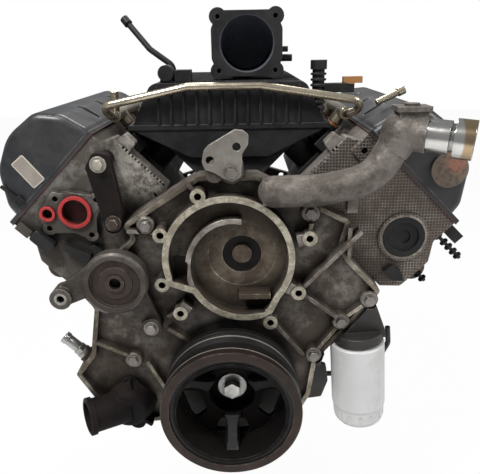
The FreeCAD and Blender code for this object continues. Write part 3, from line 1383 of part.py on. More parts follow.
def tensioner_base():
    """Fixed half of the belt tensioner: drum, bolted lug and pivot tube."""
    x, z = tensioner_x, tensioner_z
    drum = rod(x, z, tensioner_radius - 7, tensioner_base_y, cover_front_y - cover_lip)
    foot = rod(x, z, 14.0, cover_front_y - cover_lip - 1, cover_front_y)
    lug = rod(tensioner_lug[0], tensioner_lug[1], 13.5, cover_front_y - 24, cover_front_y - 6)
    leg = prism([(x + 12, z - 36), (x + 36, z - 18), (tensioner_lug[0] + 11, tensioner_lug[1] + 6),
                 (tensioner_lug[0] - 11, tensioner_lug[1] - 4)], cover_front_y - 17, cover_front_y - 9)
    pivot = rod(x, z, pivot_radius, tensioner_front_y + 2, tensioner_base_y)
    body = joined([drum, foot, lug, leg, pivot])
    holes = [rod(tensioner_lug[0], tensioner_lug[1], cover_bolt_radius, cover_front_y - 25,
                 cover_front_y - 5),
             rod(x, z, 8.0, tensioner_front_y, tensioner_front_y + 22),
             rod(x, z, tensioner_bolt_radius, tensioner_front_y, cover_front_y + 1)]
    screw = joined([rod(x, z, 7.9, tensioner_front_y + 14, tensioner_front_y + 22),
                    rod(x, z, tensioner_bolt_radius, tensioner_front_y + 22, cover_front_y + 18)])
    return [body.cut(holes), screw]


def tensioner_arm():
    """Sprung half: a cap that turns on the pivot tube and an arm with the pulley's boss."""
    x, z = tensioner_x, tensioner_z
    y0, y1 = tensioner_front_y, tensioner_base_y - tensioner_gap
    cap = turned([(0, y0 + 4), (22, y0 + 4), (23, y0 + 5.5), (33, y0 + 5.5), (34, y0),
                  (tensioner_radius - 3, y0, 1),
                  (tensioner_radius, y0 + 3), (tensioner_radius, y1), (0, y1)], x, z)
    bx, bz = arm_boss
    arm = prism([(x - 10, z + 41), (x - 38, z - 20), (bx + 4, bz - 13), (bx - 4, bz + 13)], y0 + 6, y1)
    boss = rod(bx, bz, 14.5, y0 - 2, y1 + 4)
    body = joined([cap, arm, boss])
    return body.cut([rod(x, z, pivot_radius + running_clearance, y0 - 1, y1 + 1),
                     rod(bx, bz, 5.0, y0 - 3, y1 + 5)])


def port_seals():
    """Rubber rings in the two ports on the left head's front flange."""
    y = head_front_y - port_flange_depth
    rings = [ring(big_port[0], big_port[1], big_port_radius + 5, big_port_radius, y - 4, y + 3),
             ring(small_port[0], small_port[1], small_port_radius + 4, small_port_radius, y - 3, y + 3)]
    return placed(rings, -1)


def access_plug():
    """Black rubber plug in the access hole of the right head's front wall."""
    y = head_front_y
    plug = turned([(0, y + 3), (9, y + 3), (10, y + 1), (20, y + 1), (21, y - 2), (access_radius, y - 2, 1),
                   (access_radius, y + 5), (0, y + 5)], access_w, access_t)
    return placed([plug], 1)


strut_front_y = cover_front_y + 2.0
strut_depth = 15.0


def accessory_strut():
    """Moulded bracket across the left head's front, on two stand-offs."""
    (x0, z0), (x1, z1) = strut_bolts
    y0, y1 = strut_front_y, strut_front_y + strut_depth
    bridge = prism([(x0 - 17, z0 - 4), (x0 - 6, z0 + 16, 8), (x0 + 14, z0 + 12, 8), (x0 + 17, z0 - 8),
                    (x1 + 13, z1 + 16),
                    (x1 + 9, z1 - 12, 8), (x1 - 10, z1 - 16, 10), (x1 - 14, z1 + 8)], y0, y1)
    posts = [rod(x, z, 10.0, y1 - 1, head_front_y + bank_offset) for x, z in strut_bolts]
    body = joined([bridge] + posts)
    return body.cut([rod(x, z, 4.0, y0 - 1, y0 + 41) for x, z in strut_bolts])


filter_tilt = -4.0
filter_top = 59.0
adapter_depth = 14.0


def tilted(shape):
    return turned_round_y(shape, filter_tilt, filter_x - 6, filter_top)


def oil_filter():
    """Spin-on canister with a domed, fluted end and a rubber ring at its mouth."""
    x, top = filter_x - 6, filter_top
    low = top - filter_length
    can = Part.Face(outline([(0, low), (18, low, 4), (filter_radius - 2, low + 12, 14),
                             (filter_radius - 1.5, low + 34, 4),
                             (filter_radius, low + 38), (filter_radius, top - 5, 3), (filter_radius - 5,
                                                                                      top - 2),
                             (0, top - 2)],
                            lambda r, z: Vector(x + r, filter_y, z)))
    body = can.revolve(Vector(x, filter_y, 0), Vector(0, 0, 1), 360)
    flutes = []
    for i in range(15):
        angle = math.radians(24 * i)
        flutes.append(rod_up(x + (filter_radius + 1.2) * math.cos(angle), filter_y + (filter_radius + 1.2)
                             * math.sin(angle), 4.0, low + 4, low + 30))
    seal = rod_up(x, filter_y, 33.0, top - 2, top).cut(rod_up(x, filter_y, 28.0, top - 3, top + 1))
    return [tilted(body.cut(flutes)), tilted(seal)]


def oil_filter_adapter():
    """Cast arm from the cover's side that holds the filter's seat."""
    x, top = filter_x - 6, filter_top
    seat = tilted(rod_up(x, filter_y, 36.0, top, top + adapter_depth))
    arm = prism([(112, 26), (124, 20), (136, 60), (214, 66), (212, 78, 4), (196, 120, 6), (160, 104, 6)],
                filter_y - 14, filter_y + 50)
    canister = tilted(rod_up(x, filter_y, filter_radius + 1.5, top - filter_length, top))
    cover_space = prism(front_edge, pump_face_y, block_front_y)
    bosses = [rod(bx, bz, 12.3, pump_face_y, block_front_y) for bx, bz in cover_bolt_places[:3]]
    return joined([seat, arm]).cut(bosses + [canister, cover_space,
                                             tilted(rod_up(x, filter_y, 28.0, top - 1, top + 4))])


def mount_bracket(cover, block, pedestal):
    """Pressed steel bracket beside the crankcase with an open hook."""
    plate = prism([(100, -24), (146, -31, 4), (150, -60, 10), (140, -90, 4), (100, -96)], block_front_y - 8,
                  block_front_y)
    rear = block_of(100, 118, block_front_y, block_front_y + 70, -92, -30)
    hook = swept_tube([(142, block_front_y - 4, -50), (190, block_front_y - 4, -48),
                       (226, block_front_y - 4, -30),
                       (243, block_front_y - 4, 6), (240, block_front_y - 4, 34)], [30, 24, 16], 4.0)
    return joined([plate, rear, hook]).cut([cover, block, pedestal])


# Intake, fuel and exhaust
manifold_front_y = -355.0
manifold_rear_y = -48.0
manifold_wall = 4.0
manifold_top = 403.0
runner_w = -head_inner
runner_t = intake_mouth[1] - 1.0
runner_radius = 20.0
rail_x = 168.0
rail_z = 356.0
injector_tip = (131.0, 302.0)
injector_hole = 7.0
throttle_x = 27.0
throttle_z = 453.0
throttle_bore = 38.0
throttle_face_y = -328.0
throttle_bend_y = -262.0
throttle_bend = 46.0
throttle_drop_y = throttle_bend_y + throttle_bend


def injector_axis(i, side):
    """Rail end and tip of the injector of one cylinder, in the row frame."""
    y = cylinder_y(i, side) + valve_shift
    return Vector(side * rail_x, y, rail_z), Vector(side * injector_tip[0], y, injector_tip[1])


def on_injector(i, side, start, end, radius):
    """Round bar on an injector's axis between two distances from the rail."""
    top, tip = injector_axis(i, side)
    way = tip - top
    way.normalize()
    return Part.makeCylinder(radius, end - start, top + way * start, way)


injector_reach = math.hypot(rail_x - injector_tip[0], rail_z - injector_tip[1])


def plenum(inset, y0, y1):
    half = [(56 - inset * 0.3, 299 + inset, 20), (136 - inset, 338 + inset * 0.6),
            (136 - inset, 347 - inset * 0.4),
            (108 - inset, manifold_top - inset, 14)]
    return prism(both_halves(half), y0, y1)


def intake_manifold():
    """Moulded plenum over the valley with six short legs down to the heads."""
    outer = [plenum(0, manifold_front_y, manifold_rear_y)]
    outer.append(prism([(-143, 339), (143, 339), (143, 346), (-143, 346)], manifold_front_y - 2,
                       manifold_rear_y + 2))
    rib_pitch, rib_depth = 18.0, 4.0
    for i in range(12):
        x = (i - 5.5) * rib_pitch
        outer.append(block_of(x - 1.3, x + 1.3, manifold_front_y - rib_depth, manifold_front_y + 1, 347, 399))
    for i in range(13):
        y = manifold_front_y + 12 + i * 24
        outer.append(block_of(-100, 100, y, y + 2.6, manifold_top - 1, manifold_top + 1.8))
    holes = [plenum(manifold_wall, manifold_front_y + manifold_wall, manifold_rear_y - manifold_wall)]
    for side in (1, -1):
        for y in right_cylinder_y:
            foot_y = y + valve_shift
            leg = bar((runner_w - 60, foot_y, runner_t), (runner_w + 1, foot_y, runner_t), runner_radius)
            foot = block_of(runner_w - 9, runner_w + 1, foot_y - 32, foot_y + 32, runner_t - 22,
                            runner_t + 20)
            outer += placed([leg, foot], side)
            holes += placed([bar((runner_w - 66, foot_y, runner_t), (runner_w + 2, foot_y, runner_t),
                                 intake_port_radius)], side)
        for i in range(3):
            outer.append(on_injector(i, side, injector_reach - 18, injector_reach + 3, injector_hole + 5))
            holes.append(on_injector(i, side, injector_reach - 20, injector_reach, injector_hole))
            holes.append(on_injector(i, side, injector_reach - 1, injector_reach + 16, 3.0))
    holes.append(rod_up(throttle_x, throttle_drop_y, throttle_bore, manifold_top - 20, manifold_top + 5))
    flat = rod_up(throttle_x, throttle_drop_y, throttle_bore + 20, manifold_top, manifold_top + 5)
    head_space = block_of(runner_w, 100, head_front_y - 20, head_rear_y + 20, deck_height, head_top)
    heads = placed([head_space], 1) + placed([head_space], -1)
    body = joined(outer)
    fittings_feet = [block_of(-100, -50, -350, -318, manifold_top, manifold_top + 5)]
    return body.cut(holes + heads + [flat] + fittings_feet)


def neck_run(radius, start_y, low):
    """Round run along Y that bends down through a quarter circle to the level low."""
    x, z = throttle_x, throttle_z
    disc = Part.Face(Part.Wire(Part.makeCircle(radius, Vector(x, throttle_bend_y, z), Vector(0, 1, 0))))
    bend = disc.revolve(Vector(x, throttle_bend_y, z - throttle_bend), Vector(1, 0, 0), -90)
    return [rod(x, z, radius, start_y, throttle_bend_y), bend,
            rod_up(x, throttle_drop_y, radius, low, z - throttle_bend)]


def throttle_neck():
    """Upright inlet flange with four bolt bosses and a bend down into the plenum."""
    x, z, y = throttle_x, throttle_z, throttle_face_y
    plate = prism([(x - 40, z - 44, 12), (x + 40, z - 44, 12), (x + 50, z - 20, 10), (x + 50, z + 20, 10),
                   (x + 40, z + 44, 12), (x - 40, z + 44, 12), (x - 50, z + 20, 10), (x - 50, z - 20,
                                                                                      10)], y, y + 8)
    bosses = [rod(x + a * 40, z + b * 36, 12.0, y, y + 26) for a in (-1, 1) for b in (-1, 1)]
    wall = throttle_bore + 5
    foot = rod_up(x, throttle_drop_y, wall + 12, manifold_top, manifold_top + 7)
    stub_low = bar((x + wall - 4, y + 22, z - 20), (x + wall + 22, y + 22, z - 20), 5.0)
    stub_high = bar((x + wall - 4, y + 22, z - 8), (x + wall + 16, y + 22, z - 8), 4.0)
    body = joined(neck_run(wall, y + 1, manifold_top) + [plate, foot, stub_low, stub_high] + bosses)
    holes = [rod(x + a * 40, z + b * 36, 3.2, y - 1, y + 22) for a in (-1, 1) for b in (-1, 1)]
    return body.cut(neck_run(throttle_bore, y - 1, manifold_top - 1) + holes)


def manifold_fittings(manifold):
    """Purge valve on the plenum's front left, and the ribbed sensor tower on its right."""
    valve_body = block_of(-74, -52, -346, -322, manifold_top, 420)
    cap = joined([rod(-87, 416, 11.0, -347, -322), block_of(-95, -79, -345, -324, manifold_top, 412),
                  block_of(-80, -70, -340, -328, 405, 415)])
    tower_x, tower_y = 132.0, -300.0
    rings = [rod_up(tower_x, tower_y, 11.5, z, z + 3) for z in range(352, 412, 8)]
    tower = joined([rod_up(tower_x, tower_y, 9.0, 346, 418), rod_up(tower_x, tower_y, 12.0, 416, 429)]
                   + rings)
    plug = block_of(140, 184, -309, -291, 383, 396)
    latch = block_of(168, 196, -306, -294, 396, 405)
    return [joined([valve_body, cap]), joined([tower, plug, latch]).cut(manifold)]


def vacuum_line():
    """Thin moulded hose from the plenum's left shoulder, up and back."""
    foot = rod_up(-84, -282, 8.0, manifold_top, manifold_top + 10)
    tube = swept_tube([(-84, -282, manifold_top), (-84, -282, 424), (-118, -276, 448), (-157, -256, 492)],
                      [14, 18], 4.5)
    grip = bar((-150, -261, 484), (-157, -256, 492), 6.5)
    return joined([foot, tube, grip])


def fuel_rail():
    """Steel crossover tube between two rails, with a cup over each injector and a barb."""
    pieces = []
    for side, y0, y1 in ((1, -338.0, -72.0), (-1, -326.0, -48.0)):
        pieces.append(rod(side * rail_x, rail_z, 9.0, y0, y1))
        pieces += [on_injector(i, side, 0, 20, 9.5) for i in range(3)]
    crossover_y = manifold_front_y - 13.0
    pieces.append(swept_tube([(-rail_x, -322, rail_z), (-rail_x, -346, rail_z + 2), (-176, crossover_y, 374),
                              (-56, crossover_y, 398.5), (45, crossover_y, 398.5), (204, crossover_y, 373),
                              (rail_x, -350, rail_z + 1), (rail_x, -334, rail_z)], [10, 12, 30, 30, 12,
                                                                                    8], 5.5))
    pieces.append(bar((204, crossover_y, 373), (242, crossover_y + 6, 390), 4.5))
    pieces.append(bar((233, crossover_y + 5, 386), (242, crossover_y + 6, 390), 6.0))
    pieces.append(bar((-rail_x, -318, rail_z), (-165, -330, 393), 6.0))
    holes = [on_injector(i, side, 11, 21, 6.0) for side in (1, -1) for i in range(3)]
    return joined(pieces).cut(holes)


def fuel_injectors():
    pieces = []
    for side in (1, -1):
        for i in range(3):
            reach = injector_reach
            body = [on_injector(i, side, 11, 21, 6.0), on_injector(i, side, 20, 24, 7.5),
                    on_injector(i, side, 23, reach - 20, 8.5), on_injector(i, side, reach - 21, reach,
                                                                           injector_hole)]
            top, tip = injector_axis(i, side)
            middle = top + (tip - top) * 0.52
            body.append(block_of(middle.x - 5, middle.x + 5, middle.y, middle.y + 19, middle.z - 5,
                                 middle.z + 6))
            pieces.append(joined(body))
    return pieces


def spark_plugs():
    pieces = []
    for side in (1, -1):
        for y in right_cylinder_y:
            foot, way = plug_axis(y)
            corner = Part.makePolygon([foot + way * 25 + turn_point(way, 9.2, a)
                                       for a in range(0, 420, 60)])
            plug = joined([along(foot, way, 0, 25, 6.9), Part.Face(corner).extrude(way * 12),
                           along(foot, way, 36, 60, 5.5), along(foot, way, -3, 1, 2.0)])
            pieces += placed([plug], side)
    return pieces


def ignition_coils():
    """Coil block against the head's valley face, with its boot down the plug well."""
    pieces = []
    for side in (1, -1):
        for y in right_cylinder_y:
            foot, way = plug_axis(y)
            boot = along(foot, way, 40, 126, 10.6)
            head = block_of(runner_w - 24, runner_w, y + plug_shift - 16, y + plug_shift + 16, 309, 335)
            ear = block_of(runner_w - 8, runner_w, y + plug_shift - 26, y + plug_shift - 15, 315, 329)
            coil = joined([boot, head, ear]).cut(along(foot, way, 39, 61, 5.6))
            pieces += placed([coil], side)
    return pieces


exhaust_log_w = 116.0
exhaust_outer = 21.0


def exhaust_manifold(side):
    """Cast log with three ports against the head and its outlet flange at the rear."""
    port_t = exhaust_mouth[1]
    ports = [y - valve_shift for y in right_cylinder_y]
    front, rear = ports[0] - 6, ports[2] + 52
    wall = 4.5
    log_end = Vector(exhaust_log_w, front, port_t)
    outer = [rod(exhaust_log_w, port_t, exhaust_outer, front, rear)]
    outer.append(Part.makeSphere(exhaust_outer, log_end))
    inner = [rod(exhaust_log_w, port_t, exhaust_outer - wall, front, rear - 8)]
    inner.append(Part.makeSphere(exhaust_outer - wall, log_end))
    for y in ports:
        outer.append(bar((exhaust_face, y, port_t), (exhaust_log_w, y, port_t), exhaust_port_radius + wall))
        low, high, outside = port_t - 22, port_t + 24, exhaust_face + 10
        outer.append(prism([(exhaust_face, low, 4), (outside, low, 4), (outside, high, 4),
                            (exhaust_face, high, 4)], y - 30, y + 30))
        inner.append(bar((exhaust_face - 1, y, port_t), (exhaust_log_w, y, port_t), exhaust_port_radius))
    drop = Vector(exhaust_log_w, rear - 22, port_t)
    end = drop + Vector(30, 8, -58)
    down = end - drop
    drop_radius = exhaust_outer - 2.0
    log = joined(outer).fuse(Part.makeCylinder(drop_radius, 62, drop, down))
    log = log.fuse(Part.makeCylinder(36.0, 10, end - down * 0.1, down)).removeSplitter()
    inner.append(Part.makeCylinder(drop_radius - wall, 90, drop, down))
    body = log.cut(inner)
    return placed([body.cut(block_of(0, exhaust_face, -500, 0, 0, 500))], side)


def harness_clips():
    """Wiring clips, a plug and its lug on the two heads."""
    y = head_front_y
    right = [joined([bar((head_outer, y + 12, 343), (113, y + 12, 343), 2.5)]
                    + [bar((w, y + 12, 343), (w + 2, y + 12, 343), 6.0) for w in (66, 78, 88, 98, 107)]),
             joined([bar((exhaust_face, y + 18, 286), (108, y + 18, 286), 2.5)]
                    + [bar((w, y + 18, 286), (w + 2, y + 18, 286), 6.0) for w in (84, 93, 102)]),
             block_of(head_outer, 90, y + 8, y + 26, 352, 367),
             prism([(42, 257), (58, 255), (72, 268), (60, 274), (44, 272)], y - 12, y)]
    left = [prism([(40, 308, 4), (57, 308, 4), (57, 342, 4), (40, 342, 4)], y - 17, y),
            prism([(18, 262, 3), (30, 258, 3), (40, 296, 3), (33, 304, 3)], y - 12, y),
            prism([(2, 255, 3), (13, 253, 3), (12, 272, 3), (4, 270, 3)], y - 10, y),
            joined([block_of(22, 34, y - 5, y, 380, 390), bar((27, y - 3, 384), (29, y - 3, 416), 2.5)])]
    return placed(right, 1) + placed(left, -1)


# Every piece, one file each
block = engine_block()
lower = bedplate()
cover = front_cover()
manifold = intake_manifold()
nodes = {
    "engine_block": block,
    "bedplate": lower,
    "main_bearings": main_bearings(),
    "head_gaskets": head_gaskets(),
    "cylinder_head_left": cylinder_head(-1),
    "cylinder_head_right": cylinder_head(1),
    "valve_cover_left": valve_cover(-1),
    "valve_cover_right": valve_cover(1),
    "front_cover": cover,
    "cover_bolts": cover_bolts(),
    "crank_seals": crank_seals(),
    "oil_pan": oil_pan(),
    "oil_pump": [oil_pump_housing(), oil_pickup()],
    "intake_manifold": manifold,
    "throttle_neck": throttle_neck(),
    "manifold_fittings": manifold_fittings(manifold),
    "vacuum_line": vacuum_line(),
    "fuel_rail": fuel_rail(),
    "fuel_injectors": fuel_injectors(),
    "ignition_coils": ignition_coils(),
    "spark_plugs": spark_plugs(),
    "coolant_outlet": coolant_outlet(cover),
    "outlet_tube": outlet_tube(),
    "thermostat_housing": thermostat_housing(),
    "heater_nipple": heater_nipple(),
    "tensioner_base": tensioner_base(),
    "tensioner_arm": tensioner_arm(),
    "lifting_plate": lifting_plate(),
    "oil_filter_adapter": oil_filter_adapter(),
    "oil_filter": oil_filter(),
    "exhaust_manifold_left": exhaust_manifold(-1),
    "exhaust_manifold_right": exhaust_manifold(1),
    "mount_bracket": mount_bracket(cover, block, lower),
    "accessory_strut": accessory_strut(),
    "port_seals": port_seals(),
    "access_plug": access_plug(),
    "harness_clips": harness_clips(),
    "chain_guides": chain_guides(),
    "valves": valves(),
    "valve_springs": valve_springs(),
    "lash_adjusters": lash_adjusters(),
    "rocker_arms": rocker_arms(),
    "timing_chains": timing_chains(),
    "connecting_rods": [connecting_rod(i, side) for i in range(3) for side in (1, -1)],
    "crankshaft": crankshaft(),
    "damper_hub": damper_hub(),
    "damper_rubber": damper_rubber_ring(),
    "damper_ring": damper_ring(),
    "crank_bolt": crank_bolt(),
    "crank_sprocket": crank_sprocket(),
    "camshaft_left": camshaft(-1),
    "camshaft_right": camshaft(1),
    "idler_sprocket": idler_sprocket(),
    "balance_shaft": balance_shaft(),
}
for number, (i, side) in enumerate([(0, 1), (0, -1), (1, 1), (1, -1), (2, 1), (2, -1)]):
    nodes["piston_%d" % (number + 1)] = piston(i, side)
for name, solids in nodes.items():
    save(name, solids)
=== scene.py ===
# V-six engine, dressed for its photograph: cast and moulded surfaces, grime, wear and small trim
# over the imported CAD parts. Metres, +Z up, the front of the engine faces -Y.
import math

import bmesh
import bpy
from mathutils import Matrix, Vector


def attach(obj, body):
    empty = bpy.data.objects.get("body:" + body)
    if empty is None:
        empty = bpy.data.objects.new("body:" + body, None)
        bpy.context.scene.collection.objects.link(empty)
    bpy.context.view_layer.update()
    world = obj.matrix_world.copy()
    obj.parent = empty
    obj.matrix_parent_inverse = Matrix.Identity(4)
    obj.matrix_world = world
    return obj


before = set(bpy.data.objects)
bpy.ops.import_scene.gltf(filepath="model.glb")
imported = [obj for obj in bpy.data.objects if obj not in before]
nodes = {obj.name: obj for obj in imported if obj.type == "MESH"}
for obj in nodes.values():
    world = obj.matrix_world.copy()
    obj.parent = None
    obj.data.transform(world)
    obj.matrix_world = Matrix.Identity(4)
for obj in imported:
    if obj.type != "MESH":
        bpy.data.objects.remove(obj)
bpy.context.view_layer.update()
for cad_piece in nodes.values():
    cad_piece.select_set(False)


# Block and bedplate: sand-cast iron gone grey-brown with oil mist, bolted to each other under the
# crank. The shafts that turn in them are castings of the same iron. Casting grain, oil stains and
# rubbed edges, lightened as wear and as a painted highlight, are effects that the later finishes share.
def effect_group(name, inputs, outputs):
    """Empty shader node group with named number inputs and named outputs."""
    group = bpy.data.node_groups.new(name, "ShaderNodeTree")
    for label, value in inputs.items():
        socket = group.interface.new_socket(label, in_out="INPUT", socket_type="NodeSocketFloat")
        socket.default_value = value
    for label, kind in outputs.items():
        group.interface.new_socket(label, in_out="OUTPUT", socket_type=kind)
    start = group.nodes.new("NodeGroupInput")
    end = group.nodes.new("NodeGroupOutput")
    place = group.nodes.new("ShaderNodeTexCoord")
    return group, start, end, place


def place_group(tree, group, values):
    """Puts a shared effect in a material, with the material's own values."""
    node = tree.nodes.new("ShaderNodeGroup")
    node.node_tree = group
    for label, value in values.items():
        node.inputs[label].default_value = value
    return node


def add_math(tree, operation, first, second, clamp=False):
    """Math node between two sockets or numbers; gives its output."""
    node = tree.nodes.new("ShaderNodeMath")
    node.operation = operation
    node.use_clamp = clamp
    for index, value in enumerate((first, second)):
        if isinstance(value, (int, float)):
            node.inputs[index].default_value = value
        else:
            tree.links.new(value, node.inputs[index])
    return node.outputs[0]


def add_ramp(tree, value, low, high):
    """Smooth step from 0 at low to 1 at high."""
    node = tree.nodes.new("ShaderNodeMapRange")
    node.interpolation_type = "SMOOTHSTEP"
    node.inputs["From Min"].default_value = low
    node.inputs["From Max"].default_value = high
    tree.links.new(value, node.inputs["Value"])
    return node.outputs[0]


def add_noise(tree, place, scale, detail=4.0, rough=0.55):
    """Noise on Object coordinates, so that it stays on the piece."""
    node = tree.nodes.new("ShaderNodeTexNoise")
    node.inputs["Scale"].default_value = scale
    node.inputs["Detail"].default_value = detail
    node.inputs["Roughness"].default_value = rough
    tree.links.new(place.outputs["Object"], node.inputs["Vector"])
    return node.outputs["Fac"]


def lay_over(tree, mask, below, colour):
    """Lays a colour over the one below where the mask is; gives the new colour."""
    over = tree.nodes.new("ShaderNodeMix")
    over.data_type = "RGBA"
    tree.links.new(mask, over.inputs["Factor"])
    tree.links.new(below, over.inputs["A"])
    over.inputs["B"].default_value = colour + (1,)
    return over.outputs["Result"]


casting_grain, grain_in, grain_out, grain_place = effect_group(
    "casting_grain", {"Scale": 900.0}, {"Height": "NodeSocketFloat"})
fine = casting_grain.nodes.new("ShaderNodeTexNoise")
fine.inputs["Detail"].default_value = 5.0
fine.inputs["Roughness"].default_value = 0.6
casting_grain.links.new(grain_place.outputs["Object"], fine.inputs["Vector"])
casting_grain.links.new(grain_in.outputs["Scale"], fine.inputs["Scale"])
casting_grain.links.new(fine.outputs["Fac"], grain_out.inputs["Height"])

blot_scale, fleck_scale, fleck_share, stain_contrast = 13.0, 62.0, 0.55, 4.0
oil_stain, stain_in, stain_out, stain_place = effect_group(
    "oil_stain", {"Amount": 0.5, "Spread": 0.5}, {"Mask": "NodeSocketFloat"})
blots = add_noise(oil_stain, stain_place, blot_scale, 7.0, 0.66)
flecks = add_noise(oil_stain, stain_place, fleck_scale, 5.0, 0.7)
stained = add_math(oil_stain, "ADD", blots, add_math(oil_stain, "MULTIPLY", flecks, fleck_share))
threshold = add_math(oil_stain, "SUBTRACT", 1.15, stain_in.outputs["Spread"])
excess = add_math(oil_stain, "SUBTRACT", stained, threshold)
stained = add_math(oil_stain, "MULTIPLY", excess, stain_contrast, True)
stained = add_math(oil_stain, "MULTIPLY", stained, stain_in.outputs["Amount"])
oil_stain.links.new(stained, stain_out.inputs["Mask"])

# Rubbed edges: a bevel finds the edges, which are lightened in patches as wear and as a painted highlight.
edge_radius, wear_and_highlight_scale = 0.0015, 80.0
rubbed_edge_highlight, edge_in, edge_out, edge_place = effect_group(
    "rubbed_edge_highlight", {"Gain": 6.0}, {"Mask": "NodeSocketFloat", "Normal": "NodeSocketVector"})
rounded = rubbed_edge_highlight.nodes.new("ShaderNodeBevel")
rounded.samples = 4
rounded.inputs["Radius"].default_value = edge_radius
straight = rubbed_edge_highlight.nodes.new("ShaderNodeNewGeometry")
alike = rubbed_edge_highlight.nodes.new("ShaderNodeVectorMath")
alike.operation = "DOT_PRODUCT"
rubbed_edge_highlight.links.new(rounded.outputs["Normal"], alike.inputs[0])
rubbed_edge_highlight.links.new(straight.outputs["Normal"], alike.inputs[1])
turned_away = add_math(rubbed_edge_highlight, "SUBTRACT", 1.0, alike.outputs["Value"])
turned_away = add_math(rubbed_edge_highlight, "MULTIPLY", turned_away, edge_in.outputs["Gain"], True)
patchy = add_ramp(rubbed_edge_highlight, add_noise(rubbed_edge_highlight, edge_place, wear_and_highlight_scale), 0.35, 0.65)
wear_and_highlight_mask = add_math(rubbed_edge_highlight, "MULTIPLY", turned_away, patchy)
rubbed_edge_highlight.links.new(wear_and_highlight_mask, edge_out.inputs["Mask"])
rubbed_edge_highlight.links.new(rounded.outputs["Normal"], edge_out.inputs["Normal"])


def finish(name, colour, rough, metal=0.0, grime_and_shade=(0.05, 0.04, 0.03), amount=0.6, spread=0.55,
           wear_and_highlight=None, gain=6.0, scale=900.0, bump=0.15, depth=0.0006, mottle=0.18, gloss=None,
           crevice_shade=1.1, layers=(), marks=(), carve=None, carve_depth=0.0008):
    """Material with grain, stain, rubbed edges lightened as wear and as a painted highlight, and
    painted shade in its corners. A layer is a function that gets the tree, its place node and the
    colour so far, and gives the new colour. Layers lie under the stain and marks lie over it."""
    corner_reach, open_level, cloud_scale, stain_rough = 0.03, 0.92, 26.0, 0.25
    material = bpy.data.materials.new(name)
    material.use_nodes = True
    tree = material.node_tree
    shader = tree.nodes["Principled BSDF"]
    place = tree.nodes.new("ShaderNodeTexCoord")

    cloud = add_noise(tree, place, cloud_scale, 5.0, 0.6)
    tone = tree.nodes.new("ShaderNodeMix")
    tone.data_type = "RGBA"
    tree.links.new(add_ramp(tree, cloud, 0.3, 0.7), tone.inputs["Factor"])
    tone.inputs["A"].default_value = tuple(channel * (1 - mottle) for channel in colour) + (1,)
    tone.inputs["B"].default_value = tuple(min(1, channel * (1 + mottle)) for channel in colour) + (1,)
    result = tone.outputs["Result"]
    for layer in layers:
        result = layer(tree, place, result)
    edges = place_group(tree, rubbed_edge_highlight, {"Gain": gain})
    # Edges lightened as rubbed wear and as a painted highlight.
    if wear_and_highlight is not None:
        result = lay_over(tree, edges.outputs["Mask"], result, wear_and_highlight)
    stain = place_group(tree, oil_stain, {"Amount": amount, "Spread": spread})
    result = lay_over(tree, stain.outputs["Mask"], result, grime_and_shade)
    for mark in marks:
        result = mark(tree, place, result)
    # Painted shade: where ambient occlusion finds a corner or hollow, a darkened grime colour is laid over
    # the colour so far.
    hollow = tree.nodes.new("ShaderNodeAmbientOcclusion")
    hollow.samples = 6
    hollow.inputs["Distance"].default_value = corner_reach
    shade_depth = add_math(tree, "SUBTRACT", open_level, hollow.outputs["AO"])
    corner = add_math(tree, "MULTIPLY", shade_depth, crevice_shade, True)
    result = lay_over(tree, corner, result, tuple(channel * 0.3 for channel in grime_and_shade))
    tree.links.new(result, shader.inputs["Base Color"])

    dulled = add_math(tree, "MULTIPLY", stain.outputs["Mask"], stain_rough)
    tree.links.new(add_math(tree, "ADD", rough, dulled, True), shader.inputs["Roughness"])
    shader.inputs["Metallic"].default_value = metal
    if gloss is not None:
        shader.inputs["Specular IOR Level"].default_value = gloss

    grain = place_group(tree, casting_grain, {"Scale": scale})
    relief = tree.nodes.new("ShaderNodeBump")
    relief.inputs["Strength"].default_value = bump
    relief.inputs["Distance"].default_value = depth
    tree.links.new(grain.outputs["Height"], relief.inputs["Height"])
    tree.links.new(edges.outputs["Normal"], relief.inputs["Normal"])
    normal = relief.outputs["Normal"]
    if carve is not None:
        carving = place_group(tree, carve, {})
        step = tree.nodes.new("ShaderNodeBump")
        step.inputs["Strength"].default_value = 0.9
        step.inputs["Distance"].default_value = carve_depth
        tree.links.new(carving.outputs["Height"], step.inputs["Height"])
        tree.links.new(normal, step.inputs["Normal"])
        normal = step.outputs["Normal"]
    tree.links.new(normal, shader.inputs["Normal"])
    return material


def dress(material, *names):
    """Gives these CAD nodes the material in every slot."""
    for name in names:
        mesh = nodes[name].data
        if not mesh.materials:
            mesh.materials.append(material)
        for index in range(len(mesh.materials)):
            mesh.materials[index] = material


block_cast = finish("block_cast", (0.185, 0.17, 0.155), rough=0.6, metal=0.35, amount=0.5, spread=0.62,
                    wear_and_highlight=(0.5, 0.48, 0.45), scale=500.0, bump=0.3, depth=0.001)
dress(block_cast, "engine_block", "bedplate", "crankshaft", "camshaft_left", "camshaft_right",
      "balance_shaft")


# Left head: sand-cast aluminium, oily, with painted shade in the hollows. Its front is painted lighter
# beside the strut and along the strip at the valley, and the water port behind the large seal is
# red-brown inside.
def split_axes(tree, vector):
    """Separate XYZ node on a vector socket."""
    node = tree.nodes.new("ShaderNodeSeparateXYZ")
    tree.links.new(vector, node.inputs[0])
    return node


